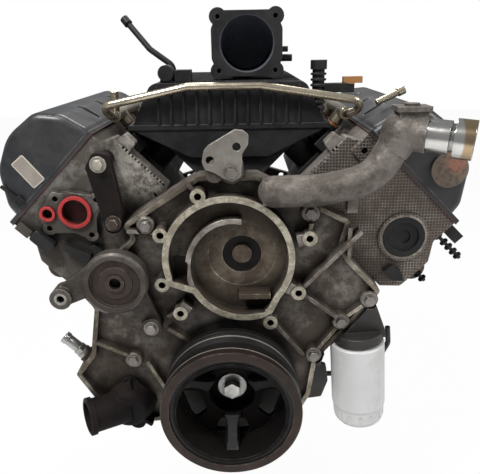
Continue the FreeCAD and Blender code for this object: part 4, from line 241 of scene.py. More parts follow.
round_patch, patch_in, patch_out, patch_place = effect_group(
    "round_patch", {"X": 0.0, "Z": 0.0, "Radius": 0.02, "Soft": 0.001, "Near": -1.0, "Far": 1.0},
    {"Mask": "NodeSocketFloat"})
patch_axes = split_axes(round_patch, patch_place.outputs["Object"])
aside = add_math(round_patch, "SUBTRACT", patch_axes.outputs["X"], patch_in.outputs["X"])
above = add_math(round_patch, "SUBTRACT", patch_axes.outputs["Z"], patch_in.outputs["Z"])
squares = add_math(round_patch, "ADD", add_math(round_patch, "MULTIPLY", aside, aside),
                   add_math(round_patch, "MULTIPLY", above, above))
off_centre = add_math(round_patch, "SQRT", squares, 0.0)
inside = add_math(round_patch, "SUBTRACT", patch_in.outputs["Radius"], off_centre)
inside = add_math(round_patch, "DIVIDE", inside, patch_in.outputs["Soft"], True)
behind = add_math(round_patch, "GREATER_THAN", patch_axes.outputs["Y"], patch_in.outputs["Near"])
before = add_math(round_patch, "LESS_THAN", patch_axes.outputs["Y"], patch_in.outputs["Far"])
between = add_math(round_patch, "MULTIPLY", behind, before)
patch_geometry = round_patch.nodes.new("ShaderNodeNewGeometry")
patch_facing = split_axes(round_patch, patch_geometry.outputs["True Normal"])
not_rear = add_math(round_patch, "LESS_THAN", patch_facing.outputs["Y"], 0.3)
between = add_math(round_patch, "MULTIPLY", between, not_rear)
round_patch.links.new(add_math(round_patch, "MULTIPLY", inside, between), patch_out.inputs["Mask"])


def paint(group, colour, share=1.0, flakes=None, **values):
    """Layer that lays a colour over the one so far where the group's mask is, in flakes of this
    noise scale if one is given."""
    def layer(tree, place, so_far):
        effect = place_group(tree, group, values)
        covered = add_math(tree, "MULTIPLY", effect.outputs["Mask"], share)
        if flakes is not None:
            broken = add_ramp(tree, add_noise(tree, place, flakes, 6.0, 0.75), 0.44, 0.58)
            covered = add_math(tree, "MULTIPLY", covered, broken)
        return lay_over(tree, covered, so_far, colour)
    return layer


lighter_pad = {"X": -0.150, "Z": 0.318, "Radius": 0.075, "Soft": 0.030}
bright_pad = {"X": -0.120, "Z": 0.300, "Radius": 0.080, "Soft": 0.040}
valley_strip = {"X": -0.105, "Z": 0.300, "Radius": 0.060, "Soft": 0.030, "Far": -0.40}
port_floor = {"X": -0.2139, "Z": 0.2372, "Radius": 0.0192, "Near": -0.4149, "Far": -0.36}
left_head_cast = finish(
    "left_head_cast", (0.29, 0.272, 0.247), rough=0.45, metal=0.5, amount=0.85, spread=0.60,
    wear_and_highlight=(0.86, 0.82, 0.75), gain=18.0, scale=420.0, bump=0.35, depth=0.001, crevice_shade=1.6,
    # Soft lighter patches on the head's front.
    layers=(paint(round_patch, (0.50, 0.465, 0.41), 0.75, **lighter_pad),
            paint(round_patch, (0.66, 0.62, 0.55), 0.7, flakes=90.0, **bright_pad)),
    marks=(paint(round_patch, (0.60, 0.565, 0.50), 0.6, flakes=110.0, **valley_strip),
           paint(round_patch, (0.085, 0.006, 0.009), 0.95, **port_floor)))
dress(left_head_cast, "cylinder_head_left")


# Right head: the same casting, but its front has a waffle of small squares, light on the ridges and
# brown in the pits, and it is machined bright in a ring round the access hole.
waffle_pitch, waffle_wander, waffle_front_y = 0.0041, 0.0022, -0.4285
waffle, waffle_in, waffle_out, waffle_place = effect_group(
    "waffle", {"Pitch": waffle_pitch}, {"Mask": "NodeSocketFloat", "Height": "NodeSocketFloat"})
waffle_axes = split_axes(waffle, waffle_place.outputs["Object"])
wander = add_math(waffle, "MULTIPLY", add_noise(waffle, waffle_place, 70.0), waffle_wander)
ridges = []
for axis in ("X", "Z"):
    shifted = add_math(waffle, "ADD", waffle_axes.outputs[axis], wander)
    steps = add_math(waffle, "DIVIDE", shifted, waffle_in.outputs["Pitch"])
    wave = add_math(waffle, "PINGPONG", steps, 0.5)
    ridges.append(add_ramp(waffle, wave, 0.30, 0.42))
ridge = add_math(waffle, "MAXIMUM", ridges[0], ridges[1])
pit = add_math(waffle, "SUBTRACT", 1.0, ridge)
on_front = add_math(waffle, "LESS_THAN", waffle_axes.outputs["Y"], waffle_front_y)
waffle.links.new(add_math(waffle, "MULTIPLY", ridge, on_front), waffle_out.inputs["Height"])
waffle.links.new(add_math(waffle, "MULTIPLY", pit, on_front), waffle_out.inputs["Mask"])
access_ring = {"X": 0.2379, "Z": 0.1991, "Radius": 0.0325, "Far": -0.4295}
right_head_cast = finish(
    "right_head_cast", (0.43, 0.40, 0.36), rough=0.42, metal=0.55, grime_and_shade=(0.10, 0.072, 0.055),
    amount=0.75, spread=0.58, wear_and_highlight=(0.8, 0.77, 0.70), gain=9.0, scale=420.0, bump=0.35, depth=0.001,
    carve=waffle, carve_depth=0.0012,
    layers=(paint(waffle, (0.075, 0.052, 0.040), 0.92),
            paint(round_patch, (0.62, 0.57, 0.49), 0.9, **access_ring)))
dress(right_head_cast, "cylinder_head_right")


# Timing cover: cast aluminium, bolted over the chain drive. The pump's flange, its inner lip and the
# bolt lugs are machined and have a yellow film, and the volute's floor is stained brown. Its deep
# pockets are painted black as painted shade, the wall behind the damper is painted near black as
# painted shade and oil, the lower half is painted darker towards the bottom, and a soft lighter patch
# lies on its left side.
machined_face, cut_in, cut_out, cut_place = effect_group(
    "machined_face", {"Near": -0.4805, "Far": -0.4795}, {"Mask": "NodeSocketFloat"})
cut_axes = split_axes(machined_face, cut_place.outputs["Object"])
cut_geometry = machined_face.nodes.new("ShaderNodeNewGeometry")
cut_facing = split_axes(machined_face, cut_geometry.outputs["True Normal"])
flat = add_math(machined_face, "LESS_THAN", cut_facing.outputs["Y"], -0.93)
deeper = add_math(machined_face, "GREATER_THAN", cut_axes.outputs["Y"], cut_in.outputs["Near"])
nearer = add_math(machined_face, "LESS_THAN", cut_axes.outputs["Y"], cut_in.outputs["Far"])
level = add_math(machined_face, "MULTIPLY", deeper, nearer)
machined_face.links.new(add_math(machined_face, "MULTIPLY", flat, level), cut_out.inputs["Mask"])

# Darker towards the bottom: a patchy fade that grows from High down to Low.
height_fade, fade_in, fade_out, fade_place = effect_group(
    "height_fade", {"Low": 0.0, "High": 0.1}, {"Mask": "NodeSocketFloat"})
fade_axes = split_axes(height_fade, fade_place.outputs["Object"])
drop = add_math(height_fade, "SUBTRACT", fade_in.outputs["High"], fade_axes.outputs["Z"])
reach = add_math(height_fade, "SUBTRACT", fade_in.outputs["High"], fade_in.outputs["Low"])
faded = add_math(height_fade, "DIVIDE", drop, reach, True)
uneven = add_ramp(height_fade, add_noise(height_fade, fade_place, 18.0), 0.25, 0.6)
height_fade.links.new(add_math(height_fade, "MULTIPLY", faded, uneven), fade_out.inputs["Mask"])

volute_centre = {"X": 0.0007, "Z": 0.188}
volute_floor = {"Radius": 0.083, "Soft": 0.006, "Near": -0.4790, "Far": -0.445}
volute_pocket_shade = {"Radius": 0.086, "Soft": 0.002, "Near": -0.4560, "Far": -0.40}
behind_damper_shade = {"X": 0.0, "Z": 0.0, "Radius": 0.098, "Soft": 0.010, "Far": -0.40}
lighter_left_patch = {"X": -0.112, "Z": 0.215, "Radius": 0.065, "Soft": 0.045}
pump_flange = {"Near": -0.4815, "Far": -0.4790}
inner_lip = {"Near": -0.4700, "Far": -0.4600}
cover_cast = finish(
    "cover_cast", (0.42, 0.385, 0.34), rough=0.42, metal=0.55, grime_and_shade=(0.065, 0.046, 0.032), amount=0.85,
    spread=0.56, wear_and_highlight=(0.90, 0.85, 0.76), gain=20.0, scale=460.0, bump=0.35, depth=0.001, mottle=0.25,
    crevice_shade=1.8,
    layers=(paint(round_patch, (0.155, 0.122, 0.080), 0.85, **volute_centre, **volute_floor),
            # A soft lighter patch on the cover's left side.
            paint(round_patch, (0.60, 0.56, 0.49), 0.7, **lighter_left_patch),
            # The lower half is painted darker towards the bottom.
            paint(height_fade, (0.040, 0.034, 0.030), 0.9, Low=-0.01, High=0.16),
            paint(machined_face, (0.52, 0.465, 0.355), 0.8, **inner_lip)),
    marks=(paint(machined_face, (0.33, 0.295, 0.225), 0.75, **pump_flange),
           paint(machined_face, (0.62, 0.57, 0.45), 0.65, flakes=75.0, **pump_flange),
           # Painted shade: the volute's deep pockets are painted black.
           paint(round_patch, (0.005, 0.005, 0.006), 0.97, **volute_centre, **volute_pocket_shade),
           # Painted shade with oil: the wall behind the damper is painted near black.
           paint(round_patch, (0.008, 0.007, 0.0065), 0.95, **behind_damper_shade)))
dress(cover_cast, "front_cover")


# Coolant outlet: a hollow aluminium sand casting that is bolted to the timing cover and sweeps up to
# its tube. It is lighter than the block and has a coarse grain.
pipe_cast = finish("pipe_cast", (0.25, 0.222, 0.198), rough=0.45, metal=0.55, amount=0.8, spread=0.50,
                   wear_and_highlight=(0.66, 0.62, 0.56), gain=6.0, scale=240.0, bump=0.9, depth=0.0016)
dress(pipe_cast, "coolant_outlet")


# Outlet tube: bright pressed steel, pushed into the casting, with a ring of tan corrosion round its
# end, where it was clamped.
clamped_ring = {"X": 0.420, "Z": 0.338, "Radius": 0.152, "Soft": 0.002}
tube_steel = finish("tube_steel", (0.62, 0.61, 0.58), rough=0.16, metal=0.95, grime_and_shade=(0.20, 0.15, 0.09),
                    amount=0.25, spread=0.35, wear_and_highlight=(0.85, 0.84, 0.82), scale=1400.0, bump=0.05,
                    depth=0.0002, layers=(paint(round_patch, (0.46, 0.33, 0.18), 0.92, **clamped_ring),))
dress(tube_steel, "outlet_tube")


# Valve covers: moulded in a dark grey composite, satin, with dust on them and painted shade in their
# corners, and screwed to the heads. The right one has a round tan disc on its front, flaked brown and red.
tan_disc = {"X": 0.2903, "Z": 0.2924, "Radius": 0.0242, "Far": -0.425}
brown_flakes = {"X": 0.2903, "Z": 0.2924, "Radius": 0.0236, "Soft": 0.003, "Far": -0.425}
red_flakes = {"X": 0.298, "Z": 0.301, "Radius": 0.017, "Soft": 0.010, "Far": -0.425}
cover_plastic = finish(
    "cover_plastic", (0.022, 0.023, 0.026), rough=0.33, grime_and_shade=(0.075, 0.068, 0.06), amount=0.35,
    spread=0.5, wear_and_highlight=(0.26, 0.26, 0.27), gain=6.0, scale=1500.0, bump=0.12, depth=0.0004, crevice_shade=0.4,
    layers=(paint(round_patch, (0.19, 0.142, 0.10), 0.92, **tan_disc),
            paint(round_patch, (0.075, 0.055, 0.042), 0.75, flakes=190.0, **brown_flakes),
            paint(round_patch, (0.38, 0.10, 0.06), 0.8, flakes=330.0, **red_flakes)))
dress(cover_plastic, "valve_cover_left", "valve_cover_right")


# Intake, vacuum line, coils, injectors, clips and guides: black glass-filled nylon, moulded, matte,
# with grey dust on it.
nylon_black = (0.009, 0.009, 0.0105)
nylon_dust_and_shade, nylon_wear_and_highlight = (0.05, 0.046, 0.042), (0.10, 0.10, 0.10)
black_plastic = finish("black_plastic", nylon_black, rough=0.5, grime_and_shade=nylon_dust_and_shade, amount=0.3, spread=0.5,
                       wear_and_highlight=nylon_wear_and_highlight, gain=5.0, scale=1300.0, bump=0.12, depth=0.0004, gloss=0.3,
                       crevice_shade=0.5)
dress(black_plastic, "intake_manifold", "vacuum_line", "ignition_coils", "fuel_injectors",
      "harness_clips", "chain_guides")


# Fittings on the intake: the same nylon with a slight shine. The sensor plug's latch block is tan.
# They are pushed into the plenum's top.
latch_block = {"X": 0.182, "Z": 0.4320, "Radius": 0.0375}
fitting_plastic = finish("fitting_plastic", nylon_black, rough=0.45, grime_and_shade=nylon_dust_and_shade, amount=0.3,
                         spread=0.5, wear_and_highlight=nylon_wear_and_highlight, scale=1300.0, bump=0.1, depth=0.0003, gloss=0.3,
                         crevice_shade=0.5, layers=(paint(round_patch, (0.42, 0.20, 0.07), 0.95, **latch_block),))
dress(fitting_plastic, "manifold_fittings")


# Throttle neck: the elbow on the plenum that air comes in by, moulded in the same nylon. Its bore is
# rubbed to a blue-grey film.
neck_bore = {"X": 0.027, "Z": 0.453, "Radius": 0.0386, "Near": -0.362}
neck_plastic = finish("neck_plastic", nylon_black, rough=0.45, grime_and_shade=nylon_dust_and_shade, amount=0.3, spread=0.5,
                      wear_and_highlight=nylon_wear_and_highlight, scale=1300.0, bump=0.1, depth=0.0004, gloss=0.35, crevice_shade=0.3,
                      layers=(paint(round_patch, (0.24, 0.26, 0.31), 0.9, **neck_bore),))
dress(neck_plastic, "throttle_neck")


# Strut and thermostat housing: black mouldings, the one bolted to the left head and the other to the
# timing cover. They have gone dull, with brown dirt worked into them.
dull_black = finish("dull_black", (0.0065, 0.0065, 0.007), rough=0.62, grime_and_shade=(0.022, 0.014, 0.011),
                    amount=0.6, spread=0.5, wear_and_highlight=(0.09, 0.085, 0.08), scale=900.0, bump=0.25,
                    depth=0.0006, gloss=0.12, crevice_shade=0.5)
dress(dull_black, "accessory_strut", "thermostat_housing")


# Belt tensioner: die-cast aluminium arm and drum on a screwed base, dull grey-brown, with a dark
# red-brown face round the pivot and two bright eyes at its bolt holes.
pivot_face = {"X": -0.149, "Z": 0.161, "Radius": 0.0333, "Soft": 0.0006, "Far": -0.4865}
pulley_eye = {"X": -0.2213, "Z": 0.1419, "Radius": 0.0088, "Soft": 0.0008, "Far": -0.49}
base_eye = {"X": -0.1083, "Z": 0.0892, "Radius": 0.0092, "Soft": 0.0008, "Far": -0.478}
eye_bright = (0.62, 0.59, 0.53)
tensioner_cast = finish(
    "tensioner_cast", (0.13, 0.118, 0.102), rough=0.46, metal=0.5, grime_and_shade=(0.040, 0.030, 0.024),
    amount=0.8, spread=0.58, wear_and_highlight=(0.60, 0.56, 0.50), gain=8.0, scale=600.0, bump=0.35, depth=0.0008,
    layers=(paint(round_patch, (0.085, 0.052, 0.040), 0.9, **pivot_face),
            paint(round_patch, eye_bright, 0.9, **pulley_eye),
            paint(round_patch, eye_bright, 0.9, **base_eye)))
dress(tensioner_cast, "tensioner_base", "tensioner_arm")


# Pistons, oil pump and main bearings: turned and machined aluminium alloy, greyed by use. They run in
# the block or are screwed to it, out of sight.
machined = finish("machined", (0.30, 0.285, 0.265), rough=0.36, metal=0.7, amount=0.5, spread=0.45,
                  wear_and_highlight=(0.8, 0.79, 0.76), scale=1200.0, bump=0.1, depth=0.0003)
dress(machined, "oil_pump", "main_bearings", *["piston_%d" % number for number in range(1, 7)])


# Lifting plate: flame-cut steel with two round holes, bolted over the cover's top. It is bare, with a
# thin brown film, and its rims are lightened as rubbed wear and as a painted highlight.
plate_steel = finish("plate_steel", (0.36, 0.34, 0.305), rough=0.4, metal=0.65, grime_and_shade=(0.10, 0.078, 0.055),
                     amount=0.5, spread=0.5, wear_and_highlight=(0.80, 0.77, 0.70), gain=7.0, scale=900.0, bump=0.2,
                     depth=0.0005)
dress(plate_steel, "lifting_plate")


# Valve gear, rods, sprockets and plugs: bare turned or forged steel with a brown film of oil. The
# heater nipple is screwed into the timing cover and has a grey plating that looks the same.
plain_steel = finish("plain_steel", (0.50, 0.49, 0.47), rough=0.28, metal=0.9, grime_and_shade=(0.10, 0.075, 0.055),
                     amount=0.35, spread=0.42, wear_and_highlight=(0.85, 0.84, 0.82), scale=1400.0, bump=0.08,
                     depth=0.0002)
dress(plain_steel, "spark_plugs", "valves", "valve_springs", "lash_adjusters", "rocker_arms",
      "connecting_rods", "crank_sprocket", "idler_sprocket", "heater_nipple")


# Fuel rail: steel tube, bent and brazed to its cups, with a yellow zinc plating that has browned in
# places.
plated = finish("plated", (0.66, 0.58, 0.44), rough=0.24, metal=0.9, grime_and_shade=(0.14, 0.095, 0.055),
                amount=0.35, spread=0.42, wear_and_highlight=(0.95, 0.91, 0.80), scale=1400.0, bump=0.05, depth=0.0002)
dress(plated, "fuel_rail")


# Cover bolts, chains and head gaskets: forged and pressed steel, blackened and gone brown. The
# strut's upper bolt is a new bright one and its lower bolt is rusty.
new_bolt = {"X": -0.165, "Z": 0.3107, "Radius": 0.012}
rusty_bolt = {"X": -0.1528, "Z": 0.2317, "Radius": 0.014}
bolt_steel = finish("bolt_steel", (0.30, 0.28, 0.255), rough=0.4, metal=0.8, grime_and_shade=(0.08, 0.05, 0.032),
                    amount=0.5, spread=0.5, wear_and_highlight=(0.75, 0.72, 0.66), scale=1400.0, bump=0.1, depth=0.0003,
                    layers=(paint(round_patch, (0.72, 0.68, 0.58), 0.9, **new_bolt),
                            paint(round_patch, (0.075, 0.055, 0.042), 0.9, **rusty_bolt)))
dress(bolt_steel, "cover_bolts", "timing_chains", "head_gaskets")


# Crank bolt: forged steel hexagon with its washer, wiped bright, with black grease on it and painted
# shade in its corners. It pulls the damper on to the crank.
bright_bolt = finish("bright_bolt", (0.66, 0.65, 0.62), rough=0.3, metal=0.85, grime_and_shade=(0.03, 0.028, 0.026),
                     amount=0.6, spread=0.42, wear_and_highlight=(0.9, 0.89, 0.86), scale=900.0, bump=0.25, depth=0.0004)
dress(bright_bolt, "crank_bolt")


# Oil filter adapter: a small aluminium casting between the cover and the filter, bolted on and
# black with burnt oil.
adapter_black = finish("adapter_black", (0.040, 0.038, 0.036), rough=0.45, metal=0.3,
                       grime_and_shade=(0.02, 0.016, 0.013), amount=0.6, spread=0.5, wear_and_highlight=(0.30, 0.28, 0.26),
                       scale=600.0, bump=0.25, depth=0.0006)
dress(adapter_black, "oil_filter_adapter")


# Oil pan and the bracket beside the filter: pressed steel, blackened, with brown splashes. The pan is
# screwed under the bedplate and the bracket to the block.
pan_steel = finish("pan_steel", (0.022, 0.021, 0.021), rough=0.42, metal=0.2, grime_and_shade=(0.07, 0.05, 0.035),
                   amount=0.5, spread=0.5, wear_and_highlight=(0.25, 0.23, 0.21), scale=900.0, bump=0.1, depth=0.0004)
dress(pan_steel, "oil_pan", "mount_bracket")


# Damper: an iron ring bonded by rubber to its hub. The ring's lip and front band are rusty, its belt
# grooves are black with three bright crests, and the dished hub is black with oil.
whole_ring = {"X": 0.0, "Z": 0.0, "Radius": 0.2}
ring_lip = {"Near": -0.60, "Far": -0.535}
front_band = {"Near": -0.60, "Far": -0.538}
groove_band = {"Near": -0.538, "Far": -0.47}
crest_places, crest_half_width = (-0.5375, -0.5240, -0.5050), 0.0009
belt_marks = [paint(round_patch, (0.010, 0.0095, 0.009), 0.9, **groove_band, **whole_ring)]
for crest_y in crest_places:
    crest_band = {"Near": crest_y - crest_half_width, "Far": crest_y + crest_half_width}
    belt_marks.append(paint(round_patch, (0.40, 0.37, 0.33), 0.85, **crest_band, **whole_ring))
ring_iron = finish(
    "ring_iron", (0.022, 0.019, 0.018), rough=0.42, metal=0.45, grime_and_shade=(0.010, 0.008, 0.007), amount=0.5,
    spread=0.5, wear_and_highlight=(0.30, 0.25, 0.21), gain=10.0, scale=700.0, bump=0.2, depth=0.0005,
    layers=(paint(machined_face, (0.042, 0.023, 0.017), 0.85, **ring_lip),
            paint(machined_face, (0.095, 0.048, 0.030), 0.6, flakes=45.0, **ring_lip),
            paint(round_patch, (0.032, 0.019, 0.015), 0.8, **front_band, **whole_ring)),
    marks=belt_marks)
dress(ring_iron, "damper_ring")
hub_iron = finish("hub_iron", (0.006, 0.0055, 0.0055), rough=0.6, grime_and_shade=(0.012, 0.009, 0.007), amount=0.5,
                  spread=0.5, wear_and_highlight=(0.10, 0.095, 0.09), scale=700.0, bump=0.25, depth=0.0006, gloss=0.08)
dress(hub_iron, "damper_hub")


# Damper spokes: three iron ribs, cast in one piece with the hub on the real damper, that run from its
# boss forward to its rim. The lowest is grey and a soft dark patch paints the other two nearly black.
# A soft dark patch over the upper two spokes.
upper_spoke_dark = {"X": 0.0, "Z": 0.045, "Radius": 0.075, "Soft": 0.020}
spoke_iron = finish("spoke_iron", (0.115, 0.115, 0.115), rough=0.38, metal=0.6, grime_and_shade=(0.010, 0.008, 0.007),
                    amount=0.75, spread=0.6, wear_and_highlight=(0.42, 0.41, 0.40), gain=8.0, scale=500.0, bump=0.4,
                    depth=0.0008, marks=(paint(round_patch, (0.012, 0.011, 0.010), 0.8, **upper_spoke_dark),))
web_front, spoke_rise, spoke_wide = -0.4995, 0.010, 0.024
spoke_start, spoke_end = 0.031, 0.0712
spoke_edge = 0.0014
spoke_long = spoke_end - spoke_start
spoke_middle = (spoke_start + spoke_end) / 2
crown_narrowing = 0.72
waists = ((0.0, 0.71), (0.25, 0.78))
crown_rises = ((0.25, 0.005), (0.5, 0.010), (0.75, 0.016), (1.0, 0.023))


def pick(piece, wanted, kind="VERT"):
    """Selects, in edit mode, the corners, edges or faces of a piece for which wanted(it) is true."""
    bpy.ops.mesh.select_mode(type=kind)
    bpy.ops.mesh.select_all(action="DESELECT")
    shape = bmesh.from_edit_mesh(piece.data)
    for part in {"VERT": shape.verts, "EDGE": shape.edges, "FACE": shape.faces}[kind]:
        part.select_set(wanted(part))
    bmesh.update_edit_mesh(piece.data)


def add_block(name, size, place, turned=(0, 0, 0)):
    """Cube of this size, with its place in its mesh; gives the object, left in edit mode."""
    bpy.ops.object.select_all(action="DESELECT")
    bpy.ops.mesh.primitive_cube_add(size=1, location=place, rotation=turned, scale=size)
    block = bpy.context.object
    block.name = name
    bpy.ops.object.transform_apply(location=True, rotation=True, scale=True)
    bpy.ops.object.mode_set(mode="EDIT")
    return block


def round_off(piece, width, steps=3):
    """Leaves edit mode and rounds the edges of a piece."""
    bpy.ops.object.mode_set(mode="OBJECT")
    rounding = piece.modifiers.new("rounding", "BEVEL")
    rounding.width = width
    rounding.segments = steps
    bpy.ops.object.modifier_apply(modifier="rounding")


def on_crown(corner):
    """True for the corners on the spoke's front."""
    return corner.co.y < web_front - spoke_rise * 0.9


first_spoke = add_block("damper_spoke_1", (spoke_wide, spoke_rise, spoke_long),
                        (0, web_front - spoke_rise / 2, -spoke_middle))
bpy.ops.mesh.subdivide(number_cuts=3)
pick(first_spoke, on_crown)
bpy.ops.transform.resize(value=(crown_narrowing, 1, 1))
for distance, waist in waists:
    pick(first_spoke, lambda corner: abs(abs(corner.co.z + spoke_middle) / spoke_long - distance) < 0.02)
    bpy.ops.transform.resize(value=(waist, 1, 1))
for along, rise in crown_rises:
    radius = spoke_start + along * spoke_long
    pick(first_spoke, lambda corner: on_crown(corner) and abs(-corner.co.z - radius) < 0.002)
    bpy.ops.transform.translate(value=(0, -rise, 0))
round_off(first_spoke, spoke_edge)
first_spoke.data.materials.append(spoke_iron)
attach(first_spoke, "crank")
for number, clock in ((2, 120), (3, 240)):
    bpy.ops.object.select_all(action="DESELECT")
    first_spoke.select_set(True)
    bpy.context.view_layer.objects.active = first_spoke
    bpy.ops.object.duplicate()
    spoke = bpy.context.object
    spoke.name = "damper_spoke_%d" % number
    bpy.ops.object.mode_set(mode="EDIT")
    bpy.ops.mesh.select_all(action="SELECT")
    bpy.ops.transform.rotate(value=math.radians(clock), orient_axis="Y", center_override=(0, 0, 0))
    bpy.ops.object.mode_set(mode="OBJECT")
    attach(spoke, "crank")


# Exhaust logs: cast iron, bolted along the outer side of each head, under an even red-brown rust that
# is blackened where oil has burnt on.
rusty_iron = finish("rusty_iron", (0.115, 0.062, 0.042), rough=0.52, metal=0.35, grime_and_shade=(0.028, 0.018, 0.015),
                    amount=0.75, spread=0.62, wear_and_highlight=(0.32, 0.24, 0.2), scale=700.0, bump=0.25, depth=0.0006)
dress(rusty_iron, "exhaust_manifold_left", "exhaust_manifold_right")


# Black rubber: the crank's seals, the damper's bonded layer and the plug pressed into the right
# head's access hole, dull and dusty.
black_rubber = finish("black_rubber", (0.012, 0.012, 0.013), rough=0.55, grime_and_shade=(0.05, 0.046, 0.042),
                      amount=0.3, spread=0.45, scale=1600.0, bump=0.08, depth=0.0003, gloss=0.3, crevice_shade=0.5)
dress(black_rubber, "crank_seals", "damper_rubber", "access_plug")


# Port seals: moulded rings of red rubber, pressed into the grooves of the left head's two water
# ports.
red_rubber = finish("red_rubber", (0.50, 0.030, 0.030), rough=0.42, grime_and_shade=(0.12, 0.02, 0.018), amount=0.35,
                    spread=0.42, wear_and_highlight=(0.70, 0.12, 0.10), scale=1600.0, bump=0.06, depth=0.0003)
dress(red_rubber, "port_seals")


# Oil filter: a drawn steel can in gloss white paint with small smudges, screwed on to its adapter
# over a sealing ring.
white_paint = finish("white_paint", (0.62, 0.62, 0.61), rough=0.28, grime_and_shade=(0.26, 0.23, 0.20), amount=0.3,
                     spread=0.34, scale=1500.0, bump=0.03, depth=0.0002, mottle=0.03, crevice_shade=0.6)
dress(white_paint, "oil_filter")


# Label on the left cover: a blank beige paper patch with rounded corners and a lighter border, glued
# on the flat front with its long side falling to the right.
label_middle = (-0.2751, -0.4062, 0.2927)
label_long, label_thick, label_short = 0.044, 0.0008, 0.022
label_corner, border_wide = 0.0026, 0.0016
fall_along, fall_down = 0.0255, -0.0322
label_turn = math.atan2(fall_down, fall_along)
label = add_block("cover_label", (label_long, label_thick, label_short), label_middle, (0, -label_turn, 0))
pick(label, lambda edge: abs(edge.verts[0].co.y - edge.verts[1].co.y) > 0.0005, "EDGE")
bpy.ops.mesh.bevel(offset=label_corner, segments=5)
pick(label, lambda face: face.normal.y < -0.9, "FACE")
bpy.ops.mesh.inset(thickness=border_wide)
round_off(label, 0.0001, 1)
paper = finish("label_paper", (0.32, 0.285, 0.24), rough=0.6, grime_and_shade=(0.17, 0.14, 0.115), amount=0.5,
               spread=0.55, scale=1200.0, bump=0.06, depth=0.0002, mottle=0.12)
border_paper = finish("label_border", (0.55, 0.51, 0.43), rough=0.6, grime_and_shade=(0.20, 0.17, 0.14), amount=0.3,
                      spread=0.45, scale=1200.0, bump=0.06, depth=0.0002, mottle=0.10)
label.data.materials.append(border_paper)
label.data.materials.append(paper)
panel = max(label.data.polygons, key=lambda face: face.area if face.normal.y < -0.9 else 0.0)
panel.material_index = 1
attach(label, "engine")


# Cover gaskets: a dark plum-red rubber lip that shows all round under each cover's rail. Each is a
# flat moulded ring that lies between the head and its cover.
gasket_wide, gasket_thick, gasket_lip = 0.1792, 0.0016, 0.006
across_bank, up_bank, bank_lean = -0.025, 0.3708, math.radians(45)
gasket_rubber = finish("gasket_rubber", (0.075, 0.022, 0.026), rough=0.5, amount=0.4, spread=0.5,
                       wear_and_highlight=(0.20, 0.10, 0.09), scale=1500.0, bump=0.06, depth=0.0002)
for name, side, front_y, rear_y in (("cover_gasket_left", -1, -0.4076, -0.0206),
                                    ("cover_gasket_right", 1, -0.4316, -0.0446)):
    lean = Matrix.Rotation(side * bank_lean, 4, "Y")
    up_normal = lean @ Vector((0, 0, 1))
    middle = lean @ Vector((side * across_bank, (front_y + rear_y) / 2, up_bank))
    gasket = add_block(name, (gasket_wide, rear_y - front_y, gasket_thick), middle, (0, side * bank_lean, 0))
    pick(gasket, lambda face: abs(face.normal.dot(up_normal)) > 0.9, "FACE")
    bpy.ops.mesh.inset(thickness=gasket_lip, use_individual=True)
    bpy.ops.mesh.bridge_edge_loops()
    round_off(gasket, 0.0005)
    gasket.data.materials.append(gasket_rubber)
    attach(gasket, "engine")


# Injector clips: a flat ring of copper-coloured spring metal, pushed on each injector just under the
# rail's cup.
clip_radius, clip_deep, clip_wall, clip_along = 0.0105, 0.0042, 0.0024, 0.36
injector_pitch, first_injector_y, left_bank_set_back = 0.106, -0.3065, 0.024
injector_top_x, injector_top_z, injector_tip_x, injector_tip_z = 0.168, 0.356, 0.131, 0.302
copper = finish("copper_clip", (0.48, 0.20, 0.08), rough=0.35, metal=0.6, grime_and_shade=(0.10, 0.05, 0.03),
                amount=0.4, spread=0.45, wear_and_highlight=(0.75, 0.40, 0.22), scale=1200.0, bump=0.08, depth=0.0003)
bpy.ops.object.select_all(action="DESELECT")
bpy.ops.mesh.primitive_cylinder_add(vertices=48, radius=clip_radius, depth=clip_deep, end_fill_type="NGON")
first_clip = bpy.context.object
bpy.ops.object.mode_set(mode="EDIT")
pick(first_clip, lambda face: abs(face.normal.z) > 0.9, "FACE")
bpy.ops.mesh.inset(thickness=clip_wall, use_individual=True)
bpy.ops.mesh.bridge_edge_loops()
round_off(first_clip, 0.0005)
first_clip.data.materials.append(copper)
clips = [first_clip]
while len(clips) < 6:
    bpy.ops.object.duplicate()
    clips.append(bpy.context.object)
for index, clip in enumerate(clips):
    side = -1 if index < 3 else 1
    injector_y = first_injector_y + injector_pitch * (index % 3)
    if side < 0:
        injector_y += left_bank_set_back
    top = Vector((side * injector_top_x, injector_y, injector_top_z))
    tip = Vector((side * injector_tip_x, injector_y, injector_tip_z))
    clip.name = "injector_clip_%d" % (index + 1)
    clip.location = top.lerp(tip, clip_along)
    clip.rotation_euler = (tip - top).to_track_quat("Z", "Y").to_euler()
    bpy.ops.object.select_all(action="DESELECT")
    clip.select_set(True)
    bpy.context.view_layer.objects.active = clip
    bpy.ops.object.transform_apply(location=True, rotation=True, scale=True)
    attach(clip, "engine")


# Valley shield: black moulded sheet under the intake's front edge. It covers most of the valley
# between the heads, with a gap at each side, and is clipped to the intake's underside.
shield_top, shield_foot, shield_thick, shield_y = 0.330, 0.242, 0.004, -0.345
bank_gap, shield_rim, panel_sink = 0.2234, 0.006, 0.0015
top_half, foot_half = shield_top - bank_gap, shield_foot - bank_gap
shield = add_block("valley_shield", (2 * top_half, shield_thick, shield_top - shield_foot),
                   (0, shield_y, (shield_top + shield_foot) / 2))
pick(shield, lambda corner: corner.co.z < shield_foot + 0.001)
bpy.ops.transform.resize(value=(foot_half / top_half, 1, 1))
pick(shield, lambda face: face.normal.y < -0.9, "FACE")
bpy.ops.mesh.inset(thickness=shield_rim)
bpy.ops.transform.translate(value=(0, panel_sink, 0))
round_off(shield, 0.0008)
shield.data.materials.append(black_plastic)
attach(shield, "engine")


